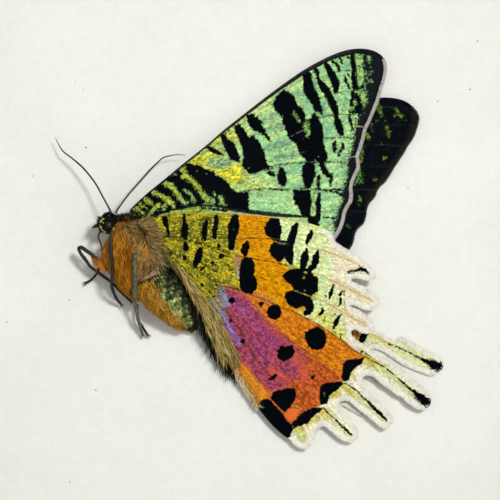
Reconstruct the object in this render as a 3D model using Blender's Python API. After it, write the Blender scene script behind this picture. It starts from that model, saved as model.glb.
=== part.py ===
"""Framed moth specimen: a day-flying moth with its wings closed, laid on its right side on white paper.

A square wooden box frame stands upright and faces -Y. Clear glass sits behind its front lip, spacer
strips hold the glass off the paper, and bent metal tabs hold the backing board in the rebate.
Origin: bottom centre of the frame. X is to the right, Z is up, and -Y is towards the viewer.
Places on the specimen are written in millimetres from the paper's centre (across, up), with its lift
off the paper's face.
"""

import math

import bmesh
import bpy
import numpy as np
from mathutils import Matrix, Vector
from mathutils.geometry import delaunay_2d_cdt

MM = 0.001
CLEARANCE = 0.3

# The frame, in millimetres
OUTER = 124.0
DEPTH = 26.0
FACE_WIDTH = 12.0
WALL = 6.0
LIP = 5.0
OUTER_CHAMFER = 0.9
SIGHT_CHAMFER = 1.8
FRONT_Y = -DEPTH / 2
BACK_Y = DEPTH / 2
GLASS_THICK = 2.0
PAPER_THICK = 1.0
BOARD_THICK = 2.4
SPACER_WIDTH = 3.0
PAPER_FACE_Y = 6.2
PANEL_SIDE = OUTER - 2 * (WALL + 0.5)
GLASS_FRONT_Y = FRONT_Y + LIP + CLEARANCE
GLASS_BACK_Y = GLASS_FRONT_Y + GLASS_THICK
BOARD_FRONT_Y = PAPER_FACE_Y + PAPER_THICK + CLEARANCE
BOARD_BACK_Y = BOARD_FRONT_Y + BOARD_THICK
CENTRE_Z = OUTER / 2

# The metal tabs that hold the board, and the slots they sit in
TAB_WIDTH = 6.0
TAB_LENGTH = 9.0
TAB_THICK = 0.5
TAB_IN_WOOD = 2.4
TAB_SPACING = 56.0
TAB_Y = BOARD_BACK_Y + CLEARANCE

# The saw-tooth hanger and its two nails
HANGER_LENGTH = 44.0
HANGER_HEIGHT = 9.0
HANGER_THICK = 0.7
HANGER_RISE = 1.2
HANGER_TEETH = 15
HANGER_DROP = 14.0
NAIL_RADIUS = 0.7
NAIL_HEAD_RADIUS = 1.7
NAIL_INSET = 3.6

# The moth's body: its axis runs from the head down to the tip of the abdomen
BODY_CENTRE = (-17.9, -0.5)
BODY_ANGLE = math.radians(-51.5)
BODY_LIFT = 3.6
TUFTS = 14
TUFT_DEPTH = 0.05
WING_THICK = 0.25
WING_HINGE = (-14.5, 2.5)
WING_REACH = 26.0
WING_GRID = 2.0

FOREWING_LEFT_OUTLINE = [
    (-14.8, 3.5), (-16.2, 4.6), (-17.6, 5.4), (-17.9, 5.9), (-17.0, 6.9), (-16.0, 7.85), (-15.0, 8.75),
    (-14.0, 9.55), (-12.0, 11.2), (-10.0, 12.9), (-8.0, 14.5), (-6.0, 16.15), (-4.0, 17.95), (-2.0, 19.55),
    (0.0, 21.15), (2.0, 22.7), (4.0, 24.2), (6.0, 25.65), (8.0, 27.0), (10.0, 28.15), (12.0, 29.15),
    (14.0, 29.9), (15.5, 30.2), (17.0, 30.25), (18.4, 30.0), (19.5, 29.45), (20.2, 28.7), (20.5, 27.8),
    (20.45, 26.6), (20.2, 25.4), (19.8, 24.2), (19.45, 22.9), (18.9, 21.5), (18.2, 19.7), (17.4, 18.0),
    (17.1, 16.6), (16.7, 15.3), (16.3, 14.1), (16.4, 13.1), (16.4, 12.3), (15.9, 11.2), (15.45, 10.1),
    (15.3, 9.2), (15.4, 8.3), (15.25, 7.3), (14.7, 6.4), (14.3, 5.4), (14.1, 4.4), (13.7, 3.2), (13.0, 2.0),
    (12.2, 1.0), (9.0, 0.6), (4.0, 1.4), (-2.0, 2.4), (-8.0, 2.9), (-13.5, 2.6),
]

FOREWING_RIGHT_OUTLINE = [
    (-13.9, 2.0), (-14.6, 3.2), (-13.2, 4.6), (-10.0, 7.5), (0.0, 14.0), (10.0, 19.2), (15.5, 21.8),
    (18.0, 22.7), (19.6, 22.95), (21.0, 22.95), (22.4, 22.75), (23.6, 22.3), (24.5, 21.6), (25.2, 20.7),
    (25.45, 19.8), (25.2, 18.6), (24.9, 17.6), (24.4, 16.6), (23.7, 15.6), (23.1, 14.5), (22.3, 13.3),
    (21.4, 11.9), (21.0, 11.2), (20.3, 10.2), (19.6, 9.6), (19.1, 8.8), (18.8, 8.0), (18.0, 7.1),
    (17.6, 6.2), (17.5, 5.4), (17.3, 4.5), (17.0, 3.9), (16.2, 3.2), (15.8, 2.4), (15.6, 1.4), (15.3, 0.6),
    (14.8, -0.1), (13.8, -0.6), (8.0, -1.0), (0.0, 0.0), (-8.0, 1.2), (-12.6, 1.2),
]

HINDWING_LEFT_OUTLINE = [
    (-14.6, 4.5), (-13.5, 4.95), (-12.0, 5.15), (-10.0, 5.35), (-8.0, 5.5), (-5.5, 5.5), (-3.0, 5.5),
    (-1.0, 5.42), (1.0, 5.22), (3.0, 5.0), (5.0, 4.75), (6.2, 4.4), (7.5, 4.15), (9.0, 3.95), (10.3, 3.55),
    (11.6, 2.95), (12.4, 2.2), (12.6, 1.4), (13.6, 0.6), (14.8, -0.1), (16.1, -0.9), (17.3, -1.8),
    (18.3, -2.8), (18.9, -3.7), (18.8, -4.3), (18.2, -4.6), (17.0, -4.4), (16.0, -4.15), (15.2, -4.3),
    (15.2, -4.7), (16.2, -5.15), (17.6, -5.8), (18.8, -6.7), (19.4, -7.6), (19.1, -8.5), (18.1, -8.95),
    (16.9, -8.8), (15.9, -8.3), (15.1, -8.2), (15.2, -8.6), (16.4, -9.1), (17.6, -9.9), (18.4, -10.8),
    (18.7, -11.6), (18.3, -12.2), (17.6, -12.5), (16.7, -12.3), (15.9, -11.9), (15.25, -12.0),
    (15.15, -12.7), (15.6, -13.3), (16.3, -13.9), (17.0, -14.15), (17.8, -14.7), (18.5, -15.3),
    (19.5, -16.0), (20.6, -16.4), (21.9, -17.2), (23.0, -18.0), (24.2, -19.0), (25.3, -20.0), (26.2, -20.8),
    (26.9, -21.5), (27.2, -22.3), (27.2, -23.1), (26.7, -23.8), (26.1, -24.05), (25.3, -23.9),
    (24.4, -23.4), (23.7, -22.9), (23.0, -22.2), (22.2, -21.8), (21.0, -20.9), (20.1, -20.3), (19.3, -19.6),
    (18.5, -18.95), (17.4, -18.85), (16.9, -19.3), (16.9, -20.0), (17.4, -20.8), (18.3, -21.8),
    (19.5, -22.8), (20.3, -23.7), (21.1, -24.7), (21.5, -25.5), (21.3, -26.2), (20.8, -26.7), (20.1, -26.85),
    (19.2, -26.2), (18.5, -25.6), (17.8, -25.0), (17.0, -24.4), (16.0, -23.6), (15.0, -22.8), (14.3, -22.6),
    (13.5, -22.9), (13.5, -23.6), (14.3, -24.6), (15.2, -25.7), (15.9, -26.6), (16.3, -27.4), (16.2, -28.1),
    (15.7, -28.7), (15.1, -28.9), (14.2, -28.7), (13.2, -28.1), (12.2, -27.2), (11.3, -26.5), (10.7, -26.5),
    (10.3, -26.9), (9.9, -27.7), (9.5, -28.6), (9.1, -29.4), (8.4, -29.9), (7.6, -29.8), (6.9, -29.4),
    (6.3, -28.8), (5.2, -28.0), (4.2, -27.2), (3.2, -26.2), (2.4, -25.3), (1.6, -24.3), (0.6, -23.4),
]

# The long hairs along the hindwing's inner margin end in locks: (root, tip) of each lock
MARGIN_LOCKS = [
    ((-0.1, -21.9), (-0.6, -22.6)), ((-1.0, -20.6), (-1.7, -21.5)), ((-1.9, -19.2), (-2.7, -20.4)),
    ((-2.8, -17.8), (-3.7, -19.0)), ((-3.7, -16.3), (-4.6, -17.6)), ((-4.6, -14.7), (-5.2, -16.2)),
    ((-5.2, -13.1), (-5.8, -14.7)), ((-5.9, -11.5), (-6.2, -13.0)), ((-6.8, -9.9), (-6.9, -11.4)),
    ((-7.6, -8.3), (-7.7, -9.6)), ((-8.6, -6.8), (-8.6, -7.9)), ((-9.6, -5.3), (-9.5, -6.2)),
    ((-10.6, -3.9), (-10.5, -4.7)), ((-11.5, -2.6), (-11.5, -3.3)),
]
HINDWING_LEFT_ROOT = [(-12.4, -1.2), (-13.2, 0.0), (-13.6, 1.0), (-13.9, 2.0), (-14.3, 3.2)]

HINDWING_RIGHT_OUTLINE = [
    (-13.8, 0.8), (-12.0, 1.6), (-8.0, 3.2), (0.0, 3.6), (8.0, 2.0), (12.4, -0.2), (14.0, -1.6),
    (14.6, -4.5), (14.9, -8.2), (16.5, -10.2), (17.6, -11.4), (18.3, -11.9), (19.2, -12.2), (20.2, -12.8),
    (21.3, -13.4), (22.1, -13.6), (22.8, -13.1), (23.6, -13.4), (25.0, -14.2), (26.5, -15.0), (28.0, -15.7),
    (28.8, -16.4), (29.2, -17.2), (29.0, -18.0), (28.2, -18.6), (27.4, -18.9), (26.0, -18.5), (24.5, -17.9),
    (23.0, -17.2), (21.5, -16.2), (20.3, -15.4), (19.3, -14.95), (18.4, -15.0), (18.9, -15.9), (21.0, -18.2),
    (23.0, -20.4), (23.2, -21.2), (22.2, -21.3), (20.0, -20.4), (19.2, -20.05), (18.2, -19.6),
    (17.35, -19.1), (16.5, -19.4), (16.6, -20.5), (18.2, -23.2), (18.9, -24.7), (18.4, -25.2),
    (17.2, -25.05), (16.0, -24.5), (14.9, -23.9), (14.0, -23.4), (13.2, -23.9), (13.2, -25.4),
    (13.3, -26.9), (12.5, -27.1), (11.4, -26.5), (10.4, -26.2), (8.6, -26.6), (6.5, -26.0), (3.0, -23.5),
    (0.0, -20.5), (-3.2, -16.5), (-5.5, -12.5), (-7.8, -7.0), (-9.8, -3.2), (-12.6, -1.8),
]

# Feelers and legs: places (across, up, lift) along each, and the radius at its two ends
ANTENNA_LEFT = [
    (-20.75, 5.55, 4.6), (-21.0, 6.2, 4.5), (-22.0, 8.0, 4.1), (-23.0, 9.8, 3.7), (-24.0, 11.15, 3.4),
    (-25.0, 12.3, 3.1), (-26.0, 13.2, 2.8), (-27.0, 14.0, 2.5), (-28.0, 14.75, 2.2), (-28.6, 15.6, 2.0),
    (-29.3, 16.9, 1.7),
]
ANTENNA_RIGHT = [
    (-20.1, 5.5, 3.6), (-19.7, 6.2, 3.5), (-19.0, 7.2, 3.3), (-18.0, 8.55, 3.0), (-17.0, 9.7, 2.8),
    (-16.0, 10.85, 2.6), (-15.0, 12.0, 2.5), (-14.0, 13.0, 2.4), (-13.1, 13.8, 2.3), (-12.0, 14.15, 2.3),
    (-11.0, 14.3, 2.3), (-9.7, 14.25, 2.3),
]
PROBOSCIS = [
    (-22.5, 2.45, 3.7), (-22.75, 2.1, 3.8), (-22.65, 1.6, 3.8), (-22.4, 1.1, 3.8), (-22.35, 0.5, 3.7),
    (-22.4, -0.2, 3.6),
]
LEGS = {
    "foreleg_left": (
        [(-20.6, 2.6, 6.6), (-20.6, 0.0, 6.8), (-20.45, -1.6, 6.5), (-20.4, -3.0, 6.0), (-20.5, -4.2, 5.3),
         (-20.65, -5.2, 4.4), (-20.4, -6.4, 3.2), (-20.0, -7.4, 2.0), (-19.4, -8.25, 1.0)],
        (0.3, 0.22),
    ),
    "foreleg_right": (
        [(-22.7, -1.45, 3.8), (-23.6, -0.7, 3.8), (-24.6, 0.0, 3.7), (-25.25, 0.4, 3.6), (-25.6, 0.2, 3.4),
         (-25.35, -0.5, 3.2), (-24.6, -1.5, 3.0), (-23.9, -2.5, 2.8), (-22.8, -3.35, 2.6),
         (-21.5, -4.3, 2.5), (-20.7, -4.95, 2.4), (-19.6, -6.1, 2.1), (-18.6, -7.1, 1.6), (-17.9, -7.8, 1.1)],
        (0.26, 0.2),
    ),
    "midleg_left": (
        [(-16.9, -0.3, 7.5), (-17.05, -2.0, 7.3), (-17.0, -4.0, 6.9), (-17.05, -6.0, 5.6), (-17.1, -7.6, 4.4),
         (-17.0, -9.0, 3.4), (-16.8, -10.3, 2.7), (-16.5, -11.5, 1.8), (-16.2, -12.9, 0.8)],
        (0.3, 0.22),
    ),
    "midleg_right": (
        [(-22.1, -2.3, 1.9), (-22.7, -2.8, 1.8), (-22.95, -3.35, 1.7), (-23.4, -4.0, 1.5), (-24.0, -4.55, 1.2),
         (-24.75, -4.95, 0.8)],
        (0.18, 0.2),
    ),
    "hindleg_left": (
        [(-16.1, -4.5, 6.6), (-15.4, -4.1, 6.7), (-14.6, -3.75, 6.6), (-13.6, -3.3, 6.3)],
        (0.28, 0.22),
    ),
    "hindleg_right": (
        [(-16.9, -8.2, 1.6), (-16.95, -9.2, 1.8), (-16.75, -10.5, 1.6), (-16.3, -11.4, 1.3), (-15.9, -12.1, 1.0),
         (-15.4, -12.85, 0.7)],
        (0.18, 0.17),
    ),
}
SEGMENT_RINGS = 2

FINISHES = {
    "ebonised_wood": ((0.035, 0.03, 0.028), 0.45, 0.0),
    "clear_glass": ((0.9, 0.95, 0.93), 0.05, 0.0),
    "white_card": ((0.86, 0.86, 0.84), 0.85, 0.0),
    "rag_paper": ((0.87, 0.86, 0.83), 0.9, 0.0),
    "hardboard": ((0.3, 0.19, 0.11), 0.8, 0.0),
    "zinc_steel": ((0.6, 0.6, 0.6), 0.35, 1.0),
    "rust_fur": ((0.45, 0.2, 0.04), 0.9, 0.0),
    "green_scales": ((0.2, 0.28, 0.1), 0.6, 0.0),
    "black_scales": ((0.02, 0.02, 0.025), 0.5, 0.0),
    "forewing_green": ((0.3, 0.5, 0.2), 0.5, 0.0),
    "hindwing_amber": ((0.6, 0.3, 0.03), 0.5, 0.0),
    "wing_black": ((0.015, 0.016, 0.02), 0.5, 0.0),
    "dark_chitin": ((0.04, 0.032, 0.026), 0.4, 0.0),
    "tan_chitin": ((0.3, 0.2, 0.1), 0.6, 0.0),
    "eye_brown": ((0.06, 0.03, 0.02), 0.15, 0.0),
}


def clear_scene():
    """Removes every object, so that the script can be run again."""
    for found in list(bpy.data.objects):
        bpy.data.objects.remove(found)


def finish_material(name):
    """The Principled material of a named finish, made once."""
    material = bpy.data.materials.get(name)
    if material is None:
        colour, roughness, metallic = FINISHES[name]
        material = bpy.data.materials.new(name)
        material.use_nodes = True
        shader = material.node_tree.nodes["Principled BSDF"]
        shader.inputs["Base Color"].default_value = (*colour, 1.0)
        shader.inputs["Roughness"].default_value = roughness
        shader.inputs["Metallic"].default_value = metallic
    return material


def add_object(name, shape, finish, smooth_angle=None):
    """Turns a bmesh, in millimetres, into a named object in metres."""
    bmesh.ops.recalc_face_normals(shape, faces=shape.faces)
    mesh = bpy.data.meshes.new(name)
    shape.to_mesh(mesh)
    shape.free()
    mesh.transform(Matrix.Scale(MM, 4))
    made = bpy.data.objects.new(name, mesh)
    bpy.context.scene.collection.objects.link(made)
    mesh.materials.append(finish_material(finish))
    if smooth_angle is not None:
        mesh.shade_smooth()
        mesh.set_sharp_from_angle(angle=math.radians(smooth_angle))
    return made


def box_shape(low, high):
    """A box between two corners, in millimetres."""
    shape = bmesh.new()
    bmesh.ops.create_cube(shape, size=1.0)
    low, high = Vector(low), Vector(high)
    for vert in shape.verts:
        vert.co = (low + high) / 2 + vert.co * (high - low)
    return shape


def add_box(name, low, high, finish):
    """A plain square-edged board, pane or strip."""
    return add_object(name, box_shape(low, high), finish)


def cut(target, cutter):
    """Cuts one hidden solid out of an object."""
    cutter.hide_render = True
    cutter.display_type = "WIRE"
    modifier = target.modifiers.new(f"cut_{cutter.name}", "BOOLEAN")
    modifier.operation = "DIFFERENCE"
    modifier.object = cutter


def stack_rings(rings, name, finish, smooth_angle=40):
    """Joins rings of points into one closed tube with flat ends."""
    shape = bmesh.new()
    loops = [[shape.verts.new(point) for point in ring] for ring in rings]
    for near, far in zip(loops, loops[1:]):
        for i, vert in enumerate(near):
            j = (i + 1) % len(near)
            shape.faces.new((vert, near[j], far[j], far[i]))
    for end in (loops[0], loops[-1]):
        middle = shape.verts.new(sum((v.co for v in end), Vector()) / len(end))
        for i, vert in enumerate(end):
            shape.faces.new((vert, end[(i + 1) % len(end)], middle))
    return add_object(name, shape, finish, smooth_angle)


def smooth_path(points, steps):
    """Catmull-Rom curve through the points, with a number of steps between each pair."""
    pts = [np.array(p, float) for p in points]
    pts = [2 * pts[0] - pts[1], *pts, 2 * pts[-1] - pts[-2]]
    path = []
    for a, b, c, d in zip(pts, pts[1:], pts[2:], pts[3:]):
        for step in range(steps):
            t = step / steps
            path.append(
                0.5 * (2 * b + (c - a) * t + (2 * a - 5 * b + 4 * c - d) * t**2 + (3 * b - a - 3 * c + d) * t**3)
            )
    path.append(pts[-2])
    return path


def on_paper(across, up, lift):
    """The point in the frame's own axes of a place on the specimen, in millimetres."""
    return Vector((across, PAPER_FACE_Y - lift, CENTRE_Z + up))


def add_tube(name, places, radii, finish, sides=8, steps=SEGMENT_RINGS):
    """A thin tapered limb along the places."""
    path = [on_paper(*p) for p in smooth_path(places, steps)]
    normal = Vector((0, 1, 0))
    rings = []
    for i, point in enumerate(path):
        along = (path[min(i + 1, len(path) - 1)] - path[max(i - 1, 0)]).normalized()
        normal = (normal - along * normal.dot(along)).normalized()
        side = along.cross(normal)
        share = i / (len(path) - 1)
        radius = radii[0] + (radii[1] - radii[0]) * share
        if i in (0, len(path) - 1):
            radius *= 0.6
        rings.append(
            [
                point + (normal * math.cos(turn) + side * math.sin(turn)) * radius
                for turn in (2 * math.pi * k / sides for k in range(sides))
            ]
        )
    return stack_rings(rings, name, finish)


def add_rail(name, side):
    """One mitred frame rail with a rebate behind its front lip."""
    profile = [
        (0.0, FRONT_Y + OUTER_CHAMFER),
        (OUTER_CHAMFER, FRONT_Y),
        (FACE_WIDTH - SIGHT_CHAMFER, FRONT_Y),
        (FACE_WIDTH, FRONT_Y + SIGHT_CHAMFER),
        (FACE_WIDTH, FRONT_Y + LIP),
        (WALL, FRONT_Y + LIP),
        (WALL, BACK_Y),
        (0.0, BACK_Y),
    ]
    shape = bmesh.new()
    half = OUTER / 2
    ends = []
    for sign in (-1, 1):
        ring = []
        for inward, y in profile:
            along = sign * (half - inward - CLEARANCE / 2)
            across, up = {
                "bottom": (along, inward),
                "top": (along, OUTER - inward),
                "left": (-half + inward, half + along),
                "right": (half - inward, half + along),
            }[side]
            ring.append(shape.verts.new((across, y, up)))
        ends.append(ring)
    shape.faces.new(ends[0])
    shape.faces.new(ends[1])
    for i in range(len(profile)):
        j = (i + 1) % len(profile)
        shape.faces.new((ends[0][i], ends[0][j], ends[1][j], ends[1][i]))
    rail = add_object(name, shape, "ebonised_wood")
    for k, along in enumerate((-TAB_SPACING / 2, TAB_SPACING / 2)):
        half_slot = TAB_WIDTH / 2 + CLEARANCE
        low_in, high_in = WALL - TAB_IN_WOOD - CLEARANCE, WALL + 1.0
        corners = {
            "bottom": ((along - half_slot, low_in), (along + half_slot, high_in)),
            "top": ((along - half_slot, OUTER - high_in), (along + half_slot, OUTER - low_in)),
            "left": ((-half + low_in, half + along - half_slot), (-half + high_in, half + along + half_slot)),
            "right": ((half - high_in, half + along - half_slot), (half - low_in, half + along + half_slot)),
        }[side]
        (x0, z0), (x1, z1) = corners
        slot = add_box(
            f"{name}_slot_{k}",
            (x0, TAB_Y - CLEARANCE, z0),
            (x1, TAB_Y + TAB_THICK + CLEARANCE, z1),
            "ebonised_wood",
        )
        cut(rail, slot)
    return rail


def add_tabs():
    """Two thin metal tabs in each rail, lying over the back of the board."""
    number = 1
    half = OUTER / 2
    for side in ("bottom", "top", "left", "right"):
        for along in (-TAB_SPACING / 2, TAB_SPACING / 2):
            low_in, high_in = WALL - TAB_IN_WOOD, WALL - TAB_IN_WOOD + TAB_LENGTH
            near, far = along - TAB_WIDTH / 2, along + TAB_WIDTH / 2
            (x0, z0), (x1, z1) = {
                "bottom": ((near, low_in), (far, high_in)),
                "top": ((near, OUTER - high_in), (far, OUTER - low_in)),
                "left": ((-half + low_in, half + near), (-half + high_in, half + far)),
                "right": ((half - high_in, half + near), (half - low_in, half + far)),
            }[side]
            tab = add_box(f"holding_tab_{number}", (x0, TAB_Y, z0), (x1, TAB_Y + TAB_THICK, z1), "zinc_steel")
            bevel = tab.modifiers.new("worn_edges", "BEVEL")
            bevel.width = 0.12 * MM
            bevel.segments = 1
            number += 1


def add_panels():
    """The glass, the spacer strips behind it, the paper and the backing board."""
    half = PANEL_SIDE / 2
    add_box(
        "glass_pane",
        (-half, GLASS_FRONT_Y, CENTRE_Z - half),
        (half, GLASS_BACK_Y, CENTRE_Z + half),
        "clear_glass",
    )
    add_box(
        "mount_paper",
        (-half, PAPER_FACE_Y, CENTRE_Z - half),
        (half, PAPER_FACE_Y + PAPER_THICK, CENTRE_Z + half),
        "rag_paper",
    )
    near, far = GLASS_BACK_Y + CLEARANCE, PAPER_FACE_Y - CLEARANCE
    inner = half - SPACER_WIDTH
    spans = {
        "spacer_bottom": ((-half, CENTRE_Z - half), (half, CENTRE_Z - inner)),
        "spacer_top": ((-half, CENTRE_Z + inner), (half, CENTRE_Z + half)),
        "spacer_left": ((-half, CENTRE_Z - inner + CLEARANCE), (-inner, CENTRE_Z + inner - CLEARANCE)),
        "spacer_right": ((inner, CENTRE_Z - inner + CLEARANCE), (half, CENTRE_Z + inner - CLEARANCE)),
    }
    for name, ((x0, z0), (x1, z1)) in spans.items():
        add_box(name, (x0, near, z0), (x1, far, z1), "white_card")


def add_board_and_hanger():
    """The backing board, with a saw-tooth hanger nailed near its top edge."""
    half = PANEL_SIDE / 2
    board = add_box(
        "backing_board",
        (-half, BOARD_FRONT_Y, CENTRE_Z - half),
        (half, BOARD_BACK_Y, CENTRE_Z + half),
        "hardboard",
    )
    top = OUTER - WALL - HANGER_DROP
    plate_y = BOARD_BACK_Y + CLEARANCE
    reach = HANGER_LENGTH / 2
    toothed = reach - 2 * NAIL_INSET
    tooth = 2 * toothed / HANGER_TEETH
    outline = [(-reach, top), (-reach, top - HANGER_HEIGHT * 0.7)]
    for k in range(HANGER_TEETH):
        x = -toothed + k * tooth
        outline += [(x, top - HANGER_HEIGHT), (x + tooth / 2, top - HANGER_HEIGHT + tooth * 0.7)]
    outline += [(toothed, top - HANGER_HEIGHT), (reach, top - HANGER_HEIGHT * 0.7), (reach, top)]
    for k in range(HANGER_TEETH - 1, 0, -1):
        outline.append((-toothed + k * tooth, top))
    shape = bmesh.new()
    flat = [Vector(point) for point in outline]
    corners, _, faces, *_ = delaunay_2d_cdt(flat, [], [list(range(len(flat)))], 1, 1e-6)

    def bow(x):
        """How far the bowed middle of the plate stands off the board."""
        return HANGER_RISE * max(0.0, 1 - (abs(x) / toothed) ** 4) if abs(x) < toothed else 0.0

    layers = [
        [shape.verts.new((c.x, plate_y + bow(c.x) + depth, c.y)) for c in corners] for depth in (0, HANGER_THICK)
    ]
    close_slab(shape, layers, faces)
    hanger = add_object("hanger", shape, "zinc_steel")
    for k, side in (("left", -1), ("right", 1)):
        x, z = side * (reach - NAIL_INSET), top - HANGER_HEIGHT * 0.35
        shaft_end = BOARD_FRONT_Y + 0.5
        head_y = plate_y + HANGER_THICK + CLEARANCE
        for target, label in ((hanger, "plate"), (board, "board")):
            hole = add_lathe(
                f"{label}_hole_{k}",
                [(BOARD_FRONT_Y - 2, NAIL_RADIUS + CLEARANCE), (BACK_Y + 2, NAIL_RADIUS + CLEARANCE)],
                (x, z),
                "zinc_steel",
            )
            cut(target, hole)
        add_lathe(
            f"hanger_nail_{k}",
            [
                (shaft_end, NAIL_RADIUS * 0.4),
                (shaft_end + 0.6, NAIL_RADIUS),
                (head_y, NAIL_RADIUS),
                (head_y, NAIL_HEAD_RADIUS),
                (head_y + 0.3, NAIL_HEAD_RADIUS * 0.9),
                (head_y + 0.7, NAIL_HEAD_RADIUS * 0.45),
            ],
            (x, z),
            "zinc_steel",
        )


def add_lathe(name, profile, place, finish, sides=16):
    """A turned piece whose axis runs along Y, from (y, radius) pairs."""
    x, z = place
    rings = [
        [
            Vector((x + r * math.cos(turn), y, z + r * math.sin(turn)))
            for turn in (2 * math.pi * k / sides for k in range(sides))
        ]
        for y, r in profile
    ]
    return stack_rings(rings, name, finish)


def close_slab(shape, layers, faces):
    """Faces both layers of a slab, and its rim."""
    used = {}
    for face in faces:
        shape.faces.new([layers[0][i] for i in face])
        shape.faces.new([layers[1][i] for i in reversed(face)])
        for a, b in zip(face, [*face[1:], face[0]]):
            key = (min(a, b), max(a, b))
            used[key] = None if key in used else (a, b)
    for edge in used.values():
        if edge:
            a, b = edge
            shape.faces.new((layers[0][b], layers[0][a], layers[1][a], layers[1][b]))


def body_place(along, beside):
    """The place on the paper of a point given along the moth's axis and towards its back."""
    c, s = math.cos(BODY_ANGLE), math.sin(BODY_ANGLE)
    return (
        BODY_CENTRE[0] + along * c - beside * s,
        BODY_CENTRE[1] + along * s + beside * c,
    )


def body_rings(stations, ridge, sides=28):
    """Rings across the body; each station is (along, beside, half width, half height, lift)."""
    rings = []
    for along, beside, wide, high, lift in stations:
        ring = []
        for k in range(sides):
            turn = 2 * math.pi * k / sides
            swell = 1 + ridge(turn, along)
            off = beside + wide * swell * math.cos(turn)
            across, up = body_place(along, off)
            ring.append(on_paper(across, up, lift + high * swell * math.sin(turn)))
        rings.append(ring)
    return rings


def add_body():
    """The head with its eyes in sockets, the furred thorax and the ringed abdomen."""
    thorax = [
        (-3.85, 0.6, 2.1, 1.7, BODY_LIFT),
        (-3.4, 0.35, 2.95, 2.3, BODY_LIFT),
        (-3.0, 0.25, 3.2, 2.6, BODY_LIFT),
        (-2.4, 0.15, 3.7, 2.85, BODY_LIFT),
        (-1.4, 0.1, 4.02, 3.08, BODY_LIFT),
        (0, 0, 4.2, 3.15, BODY_LIFT),
        (1.1, -0.05, 4.3, 3.2, BODY_LIFT),
        (2.2, -0.25, 4.25, 3.1, BODY_LIFT - 0.1),
        (3.2, -0.65, 3.95, 2.9, BODY_LIFT - 0.2),
        (3.95, -1.15, 3.35, 2.5, BODY_LIFT - 0.4),
        (4.15, -3.25, 1.15, 1.3, BODY_LIFT - 0.6),
        (4.6, -3.6, 0.8, 1.0, BODY_LIFT - 0.6),
        (4.9, -3.7, 0.5, 0.7, BODY_LIFT - 0.6),
    ]

    def tufts(turn, along):
        """Locks of fur round the thorax, staggered from row to row."""
        return TUFT_DEPTH * (math.cos(TUFTS * turn + 2.2 * along) - 1)

    stack_rings(body_rings(thorax, tufts), "thorax", "rust_fur", 80)

    abdomen = []
    first, last = 4.4, 14.9
    count = 22
    for k in range(count):
        share = k / (count - 1)
        along = first + (last - first) * share
        wide = 2.75 + 0.3 * math.sin(math.pi * min(share * 1.7, 1.0)) - 2.35 * share**2.6
        groove = 0.05 * abs(math.cos(math.pi * 7.5 * share))
        wide *= 1 - groove
        high = wide * 0.95
        abdomen.append((along, 0.4 - 0.5 * share, wide, high, high + CLEARANCE + 0.1))
    stack_rings(body_rings(abdomen, lambda turn, along: 0.0, 24), "abdomen", "green_scales", 60)

    head_at = (-21.15, 3.95)
    head_lift, head_radius = 3.9, 1.5
    eye_lift, eye_radius = 1.15, 0.75
    eye_at = (-21.0, 3.7)
    head = add_ball("head", (*head_at, head_lift), (head_radius, head_radius * 0.92), "black_scales")
    for name, sign in (("eye_left", 1), ("eye_right", -1)):
        centre = (*eye_at, head_lift + sign * eye_lift)
        socket = add_ball(f"{name}_socket", centre, (eye_radius + CLEARANCE,) * 2, "black_scales")
        cut(head, socket)
        add_ball(name, centre, (eye_radius,) * 2, "eye_brown")
    for name, lift in (("palp_left", 4.4), ("palp_right", 3.3)):
        add_tube(name, [(-22.85, 3.7, lift), (-23.15, 3.5, lift), (-23.5, 3.3, lift)], (0.3, 0.1), "black_scales")


def add_ball(name, place, radii, finish):
    """A ball or a slightly flattened one: radii are across the paper and off it."""
    shape = bmesh.new()
    bmesh.ops.create_icosphere(shape, subdivisions=3, radius=1.0)
    centre = on_paper(*place)
    flat, off = radii
    for vert in shape.verts:
        vert.co = centre + Vector((vert.co.x * flat, vert.co.y * off, vert.co.z * flat))
    return add_object(name, shape, finish, 60)


def ease(share):
    """Smooth step from 0 to 1."""
    share = min(max(share, 0.0), 1.0)
    return share * share * (3 - 2 * share)


def wing_slope(across, up):
    """1 at the wing hinge, easing to 0 at the outer wing."""
    away = math.hypot(across - WING_HINGE[0], up - WING_HINGE[1])
    return 1 - ease(away / WING_REACH)


def forewing_left_lift(across, up):
    """The left forewing comes down from the body's upper side to just over the right one."""
    return 1.9 + 2.9 * wing_slope(across, up)


def hindwing_left_lift(across, up):
    """The left hindwing lies on the forewing, and drops near the paper at its tails."""
    return forewing_left_lift(across, up) + 0.7 - 1.2 * ease((-up - 5) / 20)


def forewing_right_lift(across, up):
    """The right forewing lies close to the paper."""
    return 1.15 + 1.3 * wing_slope(across, up)


def hindwing_right_lift(across, up):
    """The right hindwing lies on the paper."""
    return 0.45 + 1.2 * wing_slope(across, up)


def inside(point, outline):
    """True if a point is inside a closed outline."""
    x, y = point
    found = False
    for (x0, y0), (x1, y1) in zip(outline, [*outline[1:], outline[0]]):
        if (y0 > y) != (y1 > y) and x < x0 + (y - y0) / (y1 - y0) * (x1 - x0):
            found = not found
    return found


def edge_distance(point, outline):
    """How far a point is from the outline."""
    p = Vector(point)
    best = 1e9
    for a, b in zip(outline, [*outline[1:], outline[0]]):
        a, b = Vector(a), Vector(b)
        span = b - a
        t = min(max((p - a).dot(span) / span.length_squared, 0.0), 1.0)
        best = min(best, (p - a - span * t).length)
    return best


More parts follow.
